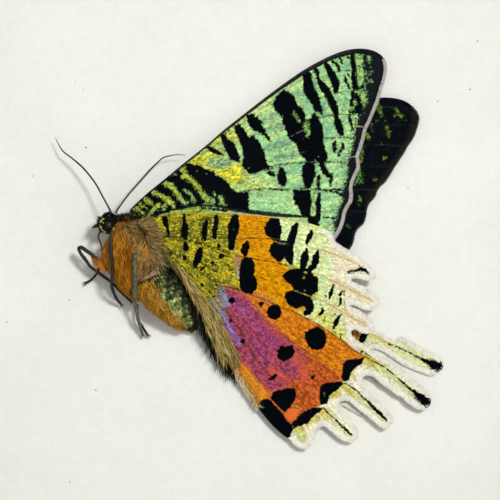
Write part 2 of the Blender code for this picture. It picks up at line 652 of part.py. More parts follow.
def add_wing(name, outline, lift, finish):
    """A thin wing over its outline, bent to the lift off the paper at each place."""
    points = [Vector(p) for p in outline]
    low = Vector((min(p.x for p in points), min(p.y for p in points)))
    high = Vector((max(p.x for p in points), max(p.y for p in points)))
    grid = []
    for row in range(int((high.y - low.y) / WING_GRID) + 1):
        for column in range(int((high.x - low.x) / WING_GRID) + 1):
            shift = 0.5 * (row % 2)
            place = (low.x + (column + shift) * WING_GRID, low.y + row * WING_GRID)
            if inside(place, outline) and edge_distance(place, outline) > WING_GRID * 0.4:
                grid.append(Vector(place))
    loop = list(range(len(points)))
    corners, _, faces, *_ = delaunay_2d_cdt(points + grid, [], [loop], 1, 1e-6)
    shape = bmesh.new()
    layers = [
        [shape.verts.new(on_paper(c.x, c.y, lift(c.x, c.y) - depth)) for c in corners]
        for depth in (0, WING_THICK)
    ]
    close_slab(shape, layers, faces)
    return add_object(name, shape, finish, 50)


def hindwing_left_outline():
    """The left hindwing's outline, with the locks of hair along its inner margin."""
    outline = list(HINDWING_LEFT_OUTLINE)
    for root, tip in MARGIN_LOCKS:
        outline += [tip, root]
    return outline + HINDWING_LEFT_ROOT


def add_wings():
    """The four wings, closed over the moth's back."""
    add_wing("hindwing_right", HINDWING_RIGHT_OUTLINE, hindwing_right_lift, "hindwing_amber")
    add_wing("forewing_right", FOREWING_RIGHT_OUTLINE, forewing_right_lift, "wing_black")
    add_wing("forewing_left", FOREWING_LEFT_OUTLINE, forewing_left_lift, "forewing_green")
    add_wing("hindwing_left", hindwing_left_outline(), hindwing_left_lift, "hindwing_amber")


def add_limbs():
    """The feelers, the tongue and the six legs."""
    add_tube("antenna_left", ANTENNA_LEFT, (0.16, 0.1), "dark_chitin", sides=6)
    add_tube("antenna_right", ANTENNA_RIGHT, (0.16, 0.1), "dark_chitin", sides=6)
    add_tube("proboscis", PROBOSCIS, (0.14, 0.12), "dark_chitin", sides=6)
    for name, (places, radii) in LEGS.items():
        add_tube(name, places, radii, "tan_chitin" if name == "hindleg_left" else "dark_chitin", sides=7)


def main():
    """Builds the frame and the specimen."""
    clear_scene()
    for side in ("bottom", "top", "left", "right"):
        add_rail(f"frame_rail_{side}", side)
    add_panels()
    add_board_and_hanger()
    add_tabs()
    add_body()
    add_wings()
    add_limbs()


main()
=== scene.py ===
"""Looks of the framed moth specimen.

The moth's wings are thin sheets. Their markings are brush strokes and patches: each sheet
stores how far its points lie from every kind of mark, and its material turns that into colour with the
ragged edge that wing scales give. Hair, scales and fringes are small tapered blades joined in meshes.
Places on the specimen are in millimetres on the paper: across and up from its centre, and lift off it.
"""

from __future__ import annotations

import logging
import math
from dataclasses import dataclass, field
from enum import Enum
from typing import Callable, Sequence

import bpy
import numpy as np
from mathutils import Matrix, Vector
from mathutils.geometry import delaunay_2d_cdt

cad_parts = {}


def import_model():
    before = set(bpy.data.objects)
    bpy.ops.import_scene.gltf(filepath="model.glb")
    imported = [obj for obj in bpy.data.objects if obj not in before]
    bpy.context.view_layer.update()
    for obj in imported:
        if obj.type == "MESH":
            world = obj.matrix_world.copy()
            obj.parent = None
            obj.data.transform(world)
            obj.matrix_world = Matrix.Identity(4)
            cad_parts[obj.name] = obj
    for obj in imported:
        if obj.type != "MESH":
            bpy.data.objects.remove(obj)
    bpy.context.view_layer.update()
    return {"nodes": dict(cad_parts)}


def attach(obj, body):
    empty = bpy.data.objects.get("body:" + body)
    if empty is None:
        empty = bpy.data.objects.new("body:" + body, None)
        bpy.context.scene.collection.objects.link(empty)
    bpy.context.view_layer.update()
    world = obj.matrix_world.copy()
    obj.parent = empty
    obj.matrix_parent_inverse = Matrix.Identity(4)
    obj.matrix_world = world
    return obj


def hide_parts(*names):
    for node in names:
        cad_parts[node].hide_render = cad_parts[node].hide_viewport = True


LOG = logging.getLogger("moth")

Colour = tuple[float, float, float]
Pair = tuple[float, float]
Triple = tuple[float, float, float]
Lift = Callable[[np.ndarray, np.ndarray], np.ndarray]

MM = 0.001
PAPER_FACE_Y = 6.2
PAPER_CENTRE_Z = 62.0
FAR = 9.0


class Slot(Enum):
    """Material slots, passed along with new pieces but not applied to them."""

    PAPER = "rag_paper"
    FUR = "rust_fur"
    GREEN_SCALES = "green_scales"
    BLACK_SCALES = "black_scales"
    FOREWING = "forewing_green"
    HINDWING = "hindwing_amber"
    BLACK_WING = "wing_black"
    CHITIN = "dark_chitin"
    TAN_CHITIN = "tan_chitin"
    EYE = "eye_brown"


def tone(red: int, green: int, blue: int) -> Colour:
    """The linear colour of a tone given on a 0 to 255 scale."""
    return tuple(
        value / 12.92 if value <= 0.04045 else ((value + 0.055) / 1.055) ** 2.4
        for value in (red / 255, green / 255, blue / 255)
    )


def to_row(across: np.ndarray, up: np.ndarray, lift: np.ndarray) -> np.ndarray:
    """Points in the row frame, in metres, from places on the paper in millimetres."""
    return np.stack([across, PAPER_FACE_Y - lift, up + PAPER_CENTRE_Z], axis=-1) * MM


def row_of(places: np.ndarray) -> np.ndarray:
    """Points in the row frame, in metres, from (across, up, lift) in millimetres."""
    return to_row(places[..., 0], places[..., 1], places[..., 2])


def left_of(aims: np.ndarray) -> np.ndarray:
    """The directions a quarter turn to the left of some on the paper."""
    return np.stack([-aims[:, 1], aims[:, 0]], axis=1)


# Shader nodes


class Wire:
    """A node's output socket, with arithmetic that adds Math nodes."""

    def __init__(self, graph: "Graph", socket: bpy.types.NodeSocket) -> None:
        """Keeps the socket and the graph it belongs to."""
        self.graph = graph
        self.socket = socket

    def _math(self, operation: str, first: object, second: object) -> "Wire":
        """Adds one Math node."""
        made = self.graph.node("ShaderNodeMath", {"operation": operation}, {0: first, 1: second})
        return Wire(self.graph, made.outputs[0])

    def __add__(self, other: object) -> "Wire":
        """self + other."""
        return self._math("ADD", self, other)

    def __radd__(self, other: object) -> "Wire":
        """other + self."""
        return self._math("ADD", other, self)

    def __sub__(self, other: object) -> "Wire":
        """self - other."""
        return self._math("SUBTRACT", self, other)

    def __rsub__(self, other: object) -> "Wire":
        """other - self."""
        return self._math("SUBTRACT", other, self)

    def __mul__(self, other: object) -> "Wire":
        """self * other."""
        return self._math("MULTIPLY", self, other)

    def __rmul__(self, other: object) -> "Wire":
        """other * self."""
        return self._math("MULTIPLY", other, self)


class Graph:
    """One material's nodes."""

    def __init__(self, name: str) -> None:
        """Starts an empty material of that name."""
        self.material = bpy.data.materials.new(name)
        self.material.use_nodes = True
        self.tree = self.material.node_tree
        self.tree.nodes.clear()
        self.column = 0

    def node(self, kind: str, settings: dict | None = None, sockets: dict | None = None) -> bpy.types.Node:
        """Adds a node.

        Args:
            kind: the node's type.
            settings: its properties, set before its sockets.
            sockets: a value, Wire or socket for each input, by name or index.

        Returns:
            The new node.
        """
        made = self.tree.nodes.new(kind)
        made.location = (self.column * 190, -(self.column % 5) * 160)
        self.column += 1
        for key, value in (settings or {}).items():
            setattr(made, key, value)
        for key, value in (sockets or {}).items():
            if isinstance(value, Wire):
                self.tree.links.new(value.socket, made.inputs[key])
            elif isinstance(value, tuple) and made.inputs[key].type == "RGBA":
                made.inputs[key].default_value = (*value, 1.0)
            else:
                made.inputs[key].default_value = value
        return made

    def place(self) -> Wire:
        """The point's place in millimetres."""
        found = self.node("ShaderNodeTexCoord")
        return self.stretch(Wire(self, found.outputs["Object"]), (1000.0, 1000.0, 1000.0))

    def stretch(self, vector: Wire, by: Triple) -> Wire:
        """The vector with each part scaled."""
        made = self.node("ShaderNodeVectorMath", {"operation": "MULTIPLY"}, {0: vector, 1: by})
        return Wire(self, made.outputs[0])

    def number(self, name: str) -> Wire:
        """A number stored on the mesh."""
        made = self.node("ShaderNodeAttribute", {"attribute_name": name})
        return Wire(self, made.outputs["Fac"])

    def vector(self, name: str) -> Wire:
        """A vector stored on the mesh."""
        made = self.node("ShaderNodeAttribute", {"attribute_name": name})
        return Wire(self, made.outputs["Vector"])

    def noise(self, vector: Wire, scale: float, detail: float = 2.0, roughness: float = 0.5) -> Wire:
        """Soft noise from 0 to 1 with scale features to each unit of the vector."""
        made = self.node(
            "ShaderNodeTexNoise", None, {"Vector": vector, "Scale": scale, "Detail": detail, "Roughness": roughness},
        )
        return Wire(self, made.outputs["Fac"])

    def cells(self, vector: Wire, scale: float) -> Wire:
        """A random number from 0 to 1 for each small cell, as single wing scales have."""
        made = self.node("ShaderNodeTexVoronoi", None, {"Vector": vector, "Scale": scale})
        parts = self.node("ShaderNodeSeparateXYZ", None, {0: Wire(self, made.outputs["Color"])})
        return Wire(self, parts.outputs["X"])

    def ramp(
        self, value: Wire, low: float, high: float, to_low: float = 0.0, to_high: float = 1.0, smooth: bool = True,
    ) -> Wire:
        """The value moved from one range to another, and kept inside it."""
        made = self.node(
            "ShaderNodeMapRange", {"interpolation_type": "SMOOTHSTEP" if smooth else "LINEAR", "clamp": True},
            {"Value": value, "From Min": low, "From Max": high, "To Min": to_low, "To Max": to_high},
        )
        return Wire(self, made.outputs["Result"])

    def mix(self, share: object, first: object, second: object) -> Wire:
        """Two colours mixed by a share."""
        made = self.node("ShaderNodeMix", {"data_type": "RGBA"}, {0: share, 6: first, 7: second})
        return Wire(self, made.outputs[2])

    def dim(self, colour: Wire, by: Wire) -> Wire:
        """The colour made brighter or darker by a number."""
        made = self.node("ShaderNodeVectorMath", {"operation": "SCALE"}, {0: colour, "Scale": by})
        return Wire(self, made.outputs[0])

    def bump(self, height: Wire, distance: float, strength: float = 1.0) -> Wire:
        """A normal bent by a height."""
        made = self.node("ShaderNodeBump", None, {"Height": height, "Distance": distance, "Strength": strength})
        return Wire(self, made.outputs["Normal"])

    def surface(self, sockets: dict) -> bpy.types.Material:
        """Ends the material in one Principled shader.

        Args:
            sockets: the shader's inputs.

        Returns:
            The finished material.
        """
        shader = self.node("ShaderNodeBsdfPrincipled", None, sockets)
        self.node("ShaderNodeOutputMaterial", None, {0: Wire(self, shader.outputs[0])})
        return self.material


# Brush marks


@dataclass(frozen=True)
class Stroke:
    """A brush stroke: (across, up, radius) at each point."""

    points: Sequence[Triple]

    def distance(self, places: np.ndarray, reach: float) -> np.ndarray:
        """How far each place is outside the stroke, below zero inside it.

        Args:
            places: places on the paper, one row each.
            reach: distances past this are all returned as FAR.

        Returns:
            One distance for each place.
        """
        marks = np.array(self.points, float)
        result = np.full(len(places), FAR)
        widest = marks[:, 2].max() + reach
        near = np.all((places > marks[:, :2].min(0) - widest) & (places < marks[:, :2].max(0) + widest), axis=1)
        if not near.any():
            return result
        spots = places[near]
        best = np.linalg.norm(spots - marks[0, :2], axis=1) - marks[0, 2]
        for start, end in zip(marks, marks[1:]):
            span = end[:2] - start[:2]
            share = np.clip(((spots - start[:2]) @ span) / max(span @ span, 1e-9), 0, 1)
            away = np.linalg.norm(spots - start[:2] - share[:, None] * span, axis=1)
            best = np.minimum(best, away - (start[2] + (end[2] - start[2]) * share))
        result[near] = best
        return result


@dataclass(frozen=True)
class Patch:
    """A filled mark with the given corners."""

    points: Sequence[Pair]

    def distance(self, places: np.ndarray, reach: float) -> np.ndarray:
        """How far each place is outside the patch, below zero inside it.

        Args:
            places: places on the paper, one row each.
            reach: distances past this are all returned as FAR.

        Returns:
            One distance for each place.
        """
        corners = np.array(self.points, float)
        result = np.full(len(places), FAR)
        near = np.all((places > corners.min(0) - reach) & (places < corners.max(0) + reach), axis=1)
        if near.any():
            result[near] = outline_distance(places[near], corners)
        return result


Shape = Stroke | Patch


def in_groups(numbers: Sequence[float], size: int) -> tuple[tuple[float, ...], ...]:
    """A flat list of numbers cut into points of so many numbers."""
    return tuple(tuple(map(float, numbers[start : start + size])) for start in range(0, len(numbers), size))


def pairs(*numbers: float) -> Sequence[Pair]:
    """Points from their numbers, two by two."""
    return in_groups(numbers, 2)


def triples(*numbers: float) -> Sequence[Triple]:
    """Points from their numbers, three by three."""
    return in_groups(numbers, 3)


def brush(*numbers: float) -> Stroke:
    """A stroke from across, up and radius at each point."""
    return Stroke(in_groups(numbers, 3))


def along(radius: float, path: Sequence[Pair]) -> Stroke:
    """A stroke of one width along a path."""
    return Stroke(tuple((across, up, radius) for across, up in path))


def line(radius: float, *numbers: float) -> Stroke:
    """A stroke of one width from across and up at each point."""
    return along(radius, pairs(*numbers))


def dot(across: float, up: float, radius: float) -> Stroke:
    """A round mark."""
    return Stroke(((across, up, radius),))


def patch(*numbers: float) -> Patch:
    """A filled mark from across and up at each corner."""
    return Patch(in_groups(numbers, 2))


def outline_distance(places: np.ndarray, corners: np.ndarray) -> np.ndarray:
    """How far each place is outside a closed outline, below zero inside it."""
    best = np.full(len(places), 1e3)
    inside = np.zeros(len(places), bool)
    for start, end in zip(corners, np.roll(corners, -1, axis=0)):
        span = end - start
        share = np.clip(((places - start) @ span) / max(span @ span, 1e-9), 0, 1)
        best = np.minimum(best, np.linalg.norm(places - start - share[:, None] * span, axis=1))
        if start[1] != end[1]:
            crosses = (start[1] > places[:, 1]) != (end[1] > places[:, 1])
            inside ^= crosses & (
                places[:, 0] < start[0] + (places[:, 1] - start[1]) / (end[1] - start[1]) * (end[0] - start[0])
            )
    return np.where(inside, -best, best)


@dataclass(frozen=True)
class Paint:
    """One colour, or two in a fine mottle, laid inside shapes with a soft or a ragged edge."""

    name: str
    colour: Colour
    shapes: Sequence[Shape]
    soft: float = 0.07
    ragged: float = 0.3
    strength: float = 1.0
    second: Colour | None = None
    dusty: float = 0.0
    least: float = -FAR

    def distance(self, places: np.ndarray) -> np.ndarray:
        """How far each place is outside the nearest of the shapes, or the least it may be."""
        reach = 1.2 + 2 * (self.soft + self.ragged) + 0.4 * self.dusty
        best = np.full(len(places), FAR)
        for shape in self.shapes:
            best = np.minimum(best, shape.distance(places, reach))
        return np.maximum(best, self.least)


def smooth_path(points: Sequence[Sequence[float]], steps: int, closed: bool = False) -> np.ndarray:
    """Catmull-Rom curve through the points.

    Args:
        points: the points it passes.
        steps: how many steps it takes between two of them.
        closed: whether it comes back to its start.

    Returns:
        The points along the curve, one row each.
    """
    given = np.array(points, float)
    if closed:
        padded = np.vstack([given[-1], given, given[0], given[1]])
    else:
        padded = np.vstack([2 * given[0] - given[1], given, 2 * given[-1] - given[-2]])
    share = (np.arange(steps) / steps)[:, None]
    rows = []
    for a, b, c, d in zip(padded, padded[1:], padded[2:], padded[3:]):
        rows.append(0.5 * (
            2 * b + (c - a) * share + (2 * a - 5 * b + 4 * c - d) * share**2 + (3 * b - a - 3 * c + d) * share**3
        ))
    if not closed:
        rows.append(given[-1:])
    return np.vstack(rows)


# Meshes


def mesh_object(
    name: str, points: np.ndarray, faces: np.ndarray, material: bpy.types.Material,
    numbers: dict[str, np.ndarray] | None = None,
) -> bpy.types.Object:
    """Makes one piece from arrays.

    Args:
        name: the piece's name.
        points: its points in the row frame, in metres.
        faces: corner indices, one row a face; all rows have as many corners.
        material: its finish.
        numbers: values stored at the points, by name.

    Returns:
        The new object, riding on the frame.
    """
    mesh = bpy.data.meshes.new(name)
    mesh.vertices.add(len(points))
    mesh.vertices.foreach_set("co", np.ascontiguousarray(points, np.float32).ravel())
    corners = faces.shape[1]
    mesh.loops.add(faces.size)
    mesh.loops.foreach_set("vertex_index", np.ascontiguousarray(faces, np.int32).ravel())
    mesh.polygons.add(len(faces))
    mesh.polygons.foreach_set("loop_start", np.arange(0, faces.size, corners, dtype=np.int32))
    for key, values in (numbers or {}).items():
        flat = values.ndim == 1
        stored = mesh.attributes.new(key, "FLOAT" if flat else "FLOAT_VECTOR", "POINT")
        stored.data.foreach_set("value" if flat else "vector", np.ascontiguousarray(values, np.float32).ravel())
    mesh.update(calc_edges=True)
    mesh.validate()
    mesh.shade_smooth()
    mesh.materials.append(material)
    made = bpy.data.objects.new(name, mesh)
    bpy.context.scene.collection.objects.link(made)
    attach(made, "root")
    LOG.info("%s: %d faces", name, len(faces))
    return made


def closed_rings(rings: np.ndarray, middles: np.ndarray | None = None) -> tuple[np.ndarray, np.ndarray]:
    """A closed shape made of rings with an even number of points.

    Args:
        rings: the rings, one row of points each.
        middles: the middle of the first and the last ring, if it isn't the mean of their points.

    Returns:
        Its points and its faces as quads.
    """
    count, sides = rings.shape[:2]
    ends = rings[[0, -1]].mean(axis=1) if middles is None else middles
    points = np.vstack([rings.reshape(-1, 3), ends])
    ring, spot = np.meshgrid(np.arange(count - 1) * sides, np.arange(sides), indexing="ij")
    after = (spot + 1) % sides
    walls = np.stack([ring + spot, ring + after, ring + sides + after, ring + sides + spot], axis=-1).reshape(-1, 4)
    even = np.arange(0, sides, 2)
    low = (count - 1) * sides
    start = np.full(len(even), count * sides)
    caps = [
        np.stack([start, (even + 2) % sides, even + 1, even], axis=1),
        np.stack([start + 1, low + even, low + even + 1, low + (even + 2) % sides], axis=1),
    ]
    return points, np.vstack([walls, *caps])


def tube_mesh(path: np.ndarray, radii: np.ndarray, sides: int) -> tuple[np.ndarray, np.ndarray]:
    """A closed tube along a path.

    Args:
        path: rows of (across, up, lift).
        radii: the radius at each.
        sides: how many sides the tube has, an even number.

    Returns:
        Its points in the row frame, and its faces as quads.
    """
    centres = row_of(path)
    along = np.gradient(centres, axis=0)
    along /= np.linalg.norm(along, axis=1, keepdims=True)
    normal = np.array([0.0, 1.0, 0.0])
    turn = np.arange(sides) * 2 * math.pi / sides
    rings = []
    for centre, ahead, radius in zip(centres, along, radii * MM):
        normal = normal - ahead * (normal @ ahead)
        normal /= np.linalg.norm(normal)
        ring = np.outer(np.cos(turn), normal) + np.outer(np.sin(turn), np.cross(ahead, normal))
        rings.append(centre + ring * radius)
    return closed_rings(np.array(rings), centres[[0, -1]])


@dataclass
class BladeCoat:
    """Many thin tapered blades joined in one mesh: hair, fringe or loose scales."""

    name: str
    seed: int
    lines: list[np.ndarray] = field(default_factory=list)
    widths: list[np.ndarray] = field(default_factory=list)
    tints: list[np.ndarray] = field(default_factory=list)
    zones: list[np.ndarray] = field(default_factory=list)
    facings: list[np.ndarray] = field(default_factory=list)
    steps: int = 4

    def __post_init__(self) -> None:
        """Starts the coat's own random numbers."""
        self.random = np.random.default_rng(self.seed)

    def grow(
        self, roots: np.ndarray, aims: np.ndarray, lengths: np.ndarray, widths: np.ndarray, lift: Lift,
        zone: np.ndarray | float = 0.0, curl: float = 0.25, rise: float = 0.12, start: float = 0.0,
    ) -> None:
        """Adds blades that lie along a surface.

        Args:
            roots: where they start on the paper.
            aims: their direction on the paper, of length 1.
            lengths: their lengths.
            widths: their widths at the broadest.
            lift: how high the surface is at a place.
            zone: a number that picks their colour.
            curl: how far they bend to a side, against their length.
            rise: how far their tips stand off the surface.
            start: how far their roots stand off it.
        """
        count = len(roots)
        share = np.linspace(0, 1, self.steps)[None, :, None]
        side = left_of(aims)
        bend = self.random.normal(0, curl, (count, 1, 1))
        path = (
            roots[:, None, :] + aims[:, None, :] * lengths[:, None, None] * share + side[:, None, :] * lengths[
                :, None, None,
            ] * bend * share**2
        )
        stand = start + rise * self.random.uniform(0.3, 1.3, (count, 1)) * share[:, :, 0] ** 0.7
        high = lift(path[:, :, 0], path[:, :, 1]) + stand
        self.lay(to_row(path[:, :, 0], path[:, :, 1], high), widths, zone)

    def lay(
        self, lines: np.ndarray, widths: np.ndarray, zone: np.ndarray | float, facing: np.ndarray | None = None,
    ) -> None:
        """Adds blades along given lines.

        Args:
            lines: their points in the row frame, one row of points a blade.
            widths: their widths at the broadest.
            zone: a number that picks their colour.
            facing: the way their flat side faces; towards the viewer if left out.
        """
        count = len(lines)
        towards = np.array([0.0, -1.0, 0.0]) if facing is None else facing
        self.lines.append(lines)
        self.widths.append(widths)
        self.tints.append(self.random.uniform(0, 1, count))
        self.zones.append(np.broadcast_to(np.asarray(zone, float), (count,)).copy())
        self.facings.append(np.broadcast_to(towards, (count, 3)).copy())

    def build(
        self, material: bpy.types.Material, slot: Slot, profile: Sequence[float] = (0.75, 1.0, 0.7, 0.12),
    ) -> bpy.types.Object:
        """Joins the blades in one mesh.

        Args:
            material: their finish.
            slot: not used.
            profile: their width at each step, against the broadest.

        Returns:
            The joined piece.
        """
        lines = np.concatenate(self.lines)
        widths = np.concatenate(self.widths) * MM / 2
        count, steps = lines.shape[:2]
        along = np.gradient(lines, axis=1)
        along /= np.maximum(np.linalg.norm(along, axis=2, keepdims=True), 1e-12)
        facing = np.concatenate(self.facings)[:, None, :] + self.random.normal(0, 0.35, (count, 1, 3))
        side = np.cross(along, facing)
        side /= np.linalg.norm(side, axis=2, keepdims=True)
        shape = np.interp(np.linspace(0, 1, steps), np.linspace(0, 1, len(profile)), profile)
        offset = side * widths[:, None, None] * shape[None, :, None]
        points = np.stack([lines - offset, lines + offset], axis=2).reshape(-1, 3)
        first = (np.arange(count)[:, None] * steps + np.arange(steps - 1)[None, :]) * 2
        faces = np.stack([first, first + 1, first + 3, first + 2], axis=2).reshape(-1, 4)
        each = steps * 2
        numbers = {
            "tint": np.repeat(np.concatenate(self.tints), each), "zone": np.repeat(np.concatenate(self.zones), each),
            "tip": np.tile(np.repeat(np.linspace(0, 1, steps), 2), count),
        }
        return mesh_object(self.name, points, faces, material, numbers)


# Finishes


@dataclass(frozen=True)
class WingFinish:
    """Overlapping wing scales: two ground colours in streaks along the veins, then the marks."""

    name: str
    ground: Colour
    streak: Colour
    fleck: Colour
    fleck_share: float = 0.12
    contrast: float = 0.6
    roughness: float = 0.55
    specular: float = 0.015
    scale_size: float = 0.21
    mosaic: float = 0.0
    soft: float = 0.05
    dust: Colour = (0.01, 0.016, 0.01)
    dusting: float = 0.55

    def material(self, zones: Sequence[Paint], marks: Sequence[Paint]) -> bpy.types.Material:
        """Builds the wing's material.

        Args:
            zones: soft areas of colour, which show single scales.
            marks: marks laid over them.

        Returns:
            The material.
        """
        graph = Graph(self.name)
        flat = graph.place()
        fan = graph.vector("fan")
        streaks = graph.noise(graph.stretch(fan, (0.16, 1.9, 1.0)), 1.0, 3.0, 0.6)
        drift = graph.noise(flat, 0.45, 2.0)
        grit = graph.noise(flat, 2.0, 4.0, 0.75)
        speck = graph.noise(flat, 4.2, 2.0, 0.6)
        dash = graph.noise(graph.stretch(fan, (0.8, 3.4, 1.0)), 1.0, 3.0, 0.7)
        scales = graph.cells(flat, 1.0 / self.scale_size)
        more = graph.cells(graph.stretch(flat, (1.0, 1.0, 1.31)), 1.0 / (self.scale_size * 1.45))
        mottle = graph.ramp(grit * 0.45 + dash * 0.4 + more * 0.15, 0.44, 0.56)
        rough = (
            graph.noise(flat, 1.5, 3.0, 0.65) - 0.5 + (speck - 0.5) * 1.7 + (more - 0.5) * 0.35 + (scales - 0.5) * 0.3
        )
        shading = Shading(graph, rough, speck - 0.5, mottle)
        blend = streaks * 0.45 + drift * 0.15 + dash * 0.4 + (more - 0.5) * self.mosaic
        spread = graph.ramp(blend, 0.5 - self.soft, 0.5 + self.soft)
        colour = graph.mix(spread, self.ground, self.streak)
        colour = graph.mix(
            graph.ramp(more, 1.0 - self.fleck_share, 1.0 - self.fleck_share * 0.6, 0.0, 0.75), colour, self.fleck,
        )
        for paint in zones:
            colour = shading.lay(colour, paint)
        colour = graph.mix(graph.ramp(speck * 0.7 + grit * 0.3, 0.55, 0.61, 0.0, self.dusting), colour, self.dust)
        bright = (
            1.0
            - self.contrast * 0.85
            + graph.ramp(grit, 0.35, 0.65, smooth=False) * (self.contrast * 0.6)
            + scales * (self.contrast * 0.45)
            + graph.ramp(dash, 0.35, 0.65, smooth=False) * (self.contrast * 0.65)
        )
        colour = graph.dim(colour, bright)
        for paint in marks:
            colour = shading.lay(colour, paint)
        relief = dash * 0.5 + scales * 0.35 + drift * 0.8
        return graph.surface({
            "Base Color": colour,
            "Roughness": graph.ramp(scales, 0.0, 1.0, self.roughness - 0.1, self.roughness + 0.12),
            "Specular IOR Level": self.specular, "Normal": graph.bump(relief, 0.00012, 0.6),
        })


@dataclass(frozen=True)
class Shading:
    """What the paints of one wing share: its graph, the jitter of their edges and their mottle."""

    graph: Graph
    rough: Wire
    speck: Wire
    mottle: Wire

    def lay(self, colour: Wire, paint: Paint) -> Wire:
        """Lays one paint over a colour.

        Args:
            colour: the colour below it.
            paint: the paint.

        Returns:
            The colour with the paint.
        """
        graph = self.graph
        edge = graph.number(paint.name) + self.rough * paint.ragged
        if paint.dusty:
            edge = edge + self.speck * paint.dusty
        laid = paint.colour if paint.second is None else graph.mix(self.mottle, paint.second, paint.colour)
        return graph.mix(graph.ramp(edge, paint.soft, -paint.soft, 0.0, paint.strength), colour, laid)


@dataclass(frozen=True)
class BladeFinish:
    """Hair or scales in a few tones, darker at the root."""

    name: str
    tones: Sequence[Colour]
    dark: float = 0.55
    spread: float = 0.5
    roughness: float = 0.55
    specular: float = 0.25
    sheen: float = 0.0

    def material(self) -> bpy.types.Material:
        """Builds the material; a blade's zone picks its tone, from 0 for the first up."""
        graph = Graph(self.name)
        zone, tint, tip = graph.number("zone"), graph.number("tint"), graph.number("tip")
        colour: object = self.tones[0]
        for index, shade in enumerate(self.tones[1:]):
            colour = graph.mix(graph.ramp(zone, index + 0.02, index + 0.98, smooth=False), colour, shade)
        shine = graph.noise(graph.place(), 1.1, 2.0)
        bright = (1.0 - self.spread / 2 + tint * self.spread) * (self.dark + (1 - self.dark) * tip)
        colour = graph.dim(colour, bright * (0.75 + shine * 0.5))
        return graph.surface({
            "Base Color": colour, "Roughness": self.roughness, "Specular IOR Level": self.specular,
            "Sheen Weight": self.sheen,
        })


@dataclass(frozen=True)
class SkinFinish:
    """Mottled skin in two tones, used under hair and on legs and feelers."""

    name: str
    light: Colour
    dark: Colour
    grain: float = 3.0
    roughness: float = 0.45
    specular: float = 0.35
    relief: float = 0.00006

    def material(self) -> bpy.types.Material:
        """Builds the material."""
        graph = Graph(self.name)
        flat = graph.place()
        mottle = graph.noise(flat, self.grain, 3.0, 0.65)
        colour = graph.mix(graph.ramp(mottle, 0.38, 0.62), self.dark, self.light)
        return graph.surface({
            "Base Color": colour,
            "Roughness": graph.ramp(mottle, 0.3, 0.7, self.roughness - 0.1, self.roughness + 0.1),
            "Specular IOR Level": self.specular, "Normal": graph.bump(mottle, self.relief, 0.7),
        })


@dataclass(frozen=True)
class PaperFinish:
    """White paper with a light felt texture."""

    name: str = "felt_paper"
    colour: Colour = (0.84, 0.832, 0.8)
    shade: Colour = (0.8, 0.79, 0.755)
    roughness: float = 0.92

    def material(self) -> bpy.types.Material:
        """Builds the material."""
        graph = Graph(self.name)
        flat = graph.place()
        felt = graph.noise(flat, 0.9, 4.0, 0.6)
        fibre = graph.noise(graph.stretch(flat, (1.6, 1.0, 0.9)), 2.6, 3.0, 0.6)
        cloud = graph.noise(flat, 0.07, 2.0)
        colour = graph.mix(graph.ramp(felt * 0.5 + cloud * 0.5, 0.35, 0.65), self.shade, self.colour)
        return graph.surface({
            "Base Color": colour, "Roughness": self.roughness, "Specular IOR Level": 0.15,
            "Normal": graph.bump(felt * 0.7 + fibre * 0.5, 0.00016, 0.6),
        })


@dataclass(frozen=True)
class WoodFinish:
    """Black stained wood with fine grain along each rail."""

    name: str
    along: Triple
    stain: Colour = (0.016, 0.014, 0.013)
    grain: Colour = (0.045, 0.036, 0.03)

    def material(self) -> bpy.types.Material:
        """Builds the material."""
        graph = Graph(self.name)
        flat = graph.place()
        grain = graph.noise(graph.stretch(flat, self.along), 1.0, 5.0, 0.65)
        pores = graph.noise(graph.stretch(flat, self.along), 4.0, 2.0, 0.7)
        colour = graph.mix(graph.ramp(grain, 0.4, 0.7), self.stain, self.grain)
        colour = graph.mix(graph.ramp(pores, 0.62, 0.7, 0.0, 0.6), colour, (0.006, 0.005, 0.005))
        return graph.surface({
            "Base Color": colour, "Roughness": graph.ramp(grain, 0.3, 0.75, 0.34, 0.55), "Specular IOR Level": 0.5,
            "Normal": graph.bump(grain * 0.6 - graph.ramp(pores, 0.62, 0.7) * 0.5, 0.0001, 0.5),
        })


@dataclass(frozen=True)
class GlassFinish:
    """Thin clear glass with a low-reflection surface."""

    name: str = "pane_glass"
    reflection_ior: float = 1.03

    def material(self) -> bpy.types.Material:
        """Builds the material."""
        graph = Graph(self.name)
        clear = graph.node("ShaderNodeBsdfTransparent", None, {"Color": (0.985, 0.99, 0.987)})
        gloss = graph.node("ShaderNodeBsdfGlossy", None, {"Color": (1.0, 1.0, 1.0), "Roughness": 0.02})
        edge = graph.node("ShaderNodeFresnel", None, {"IOR": self.reflection_ior})
        both = graph.node("ShaderNodeMixShader", None, {
            0: Wire(graph, edge.outputs[0]), 1: Wire(graph, clear.outputs[0]), 2: Wire(graph, gloss.outputs[0]),
        })
        graph.node("ShaderNodeOutputMaterial", None, {0: Wire(graph, both.outputs[0])})
        return graph.material


@dataclass(frozen=True)
class SheetFinish:
    """Pressed board, card or metal sheet in two tones with a fibre or rolling grain."""

    name: str
    light: Colour
    dark: Colour
    stretch: Triple
    roughness: float
    metallic: float = 0.0
    relief: float = 0.00005

    def material(self) -> bpy.types.Material:
        """Builds the material."""
        graph = Graph(self.name)
        flat = graph.place()
        fibre = graph.noise(graph.stretch(flat, self.stretch), 1.0, 4.0, 0.65)
        cloud = graph.noise(flat, 0.2, 3.0)
        colour = graph.mix(graph.ramp(fibre * 0.6 + cloud * 0.4, 0.36, 0.62), self.dark, self.light)
        return graph.surface({
            "Base Color": colour,
            "Roughness": graph.ramp(cloud, 0.3, 0.7, self.roughness - 0.08, self.roughness + 0.08),
            "Metallic": self.metallic, "Normal": graph.bump(fibre, self.relief, 0.5),
        })


# How high the wings lie

HINGE = (-14.5, 2.5)
HINGE_REACH = 26.0


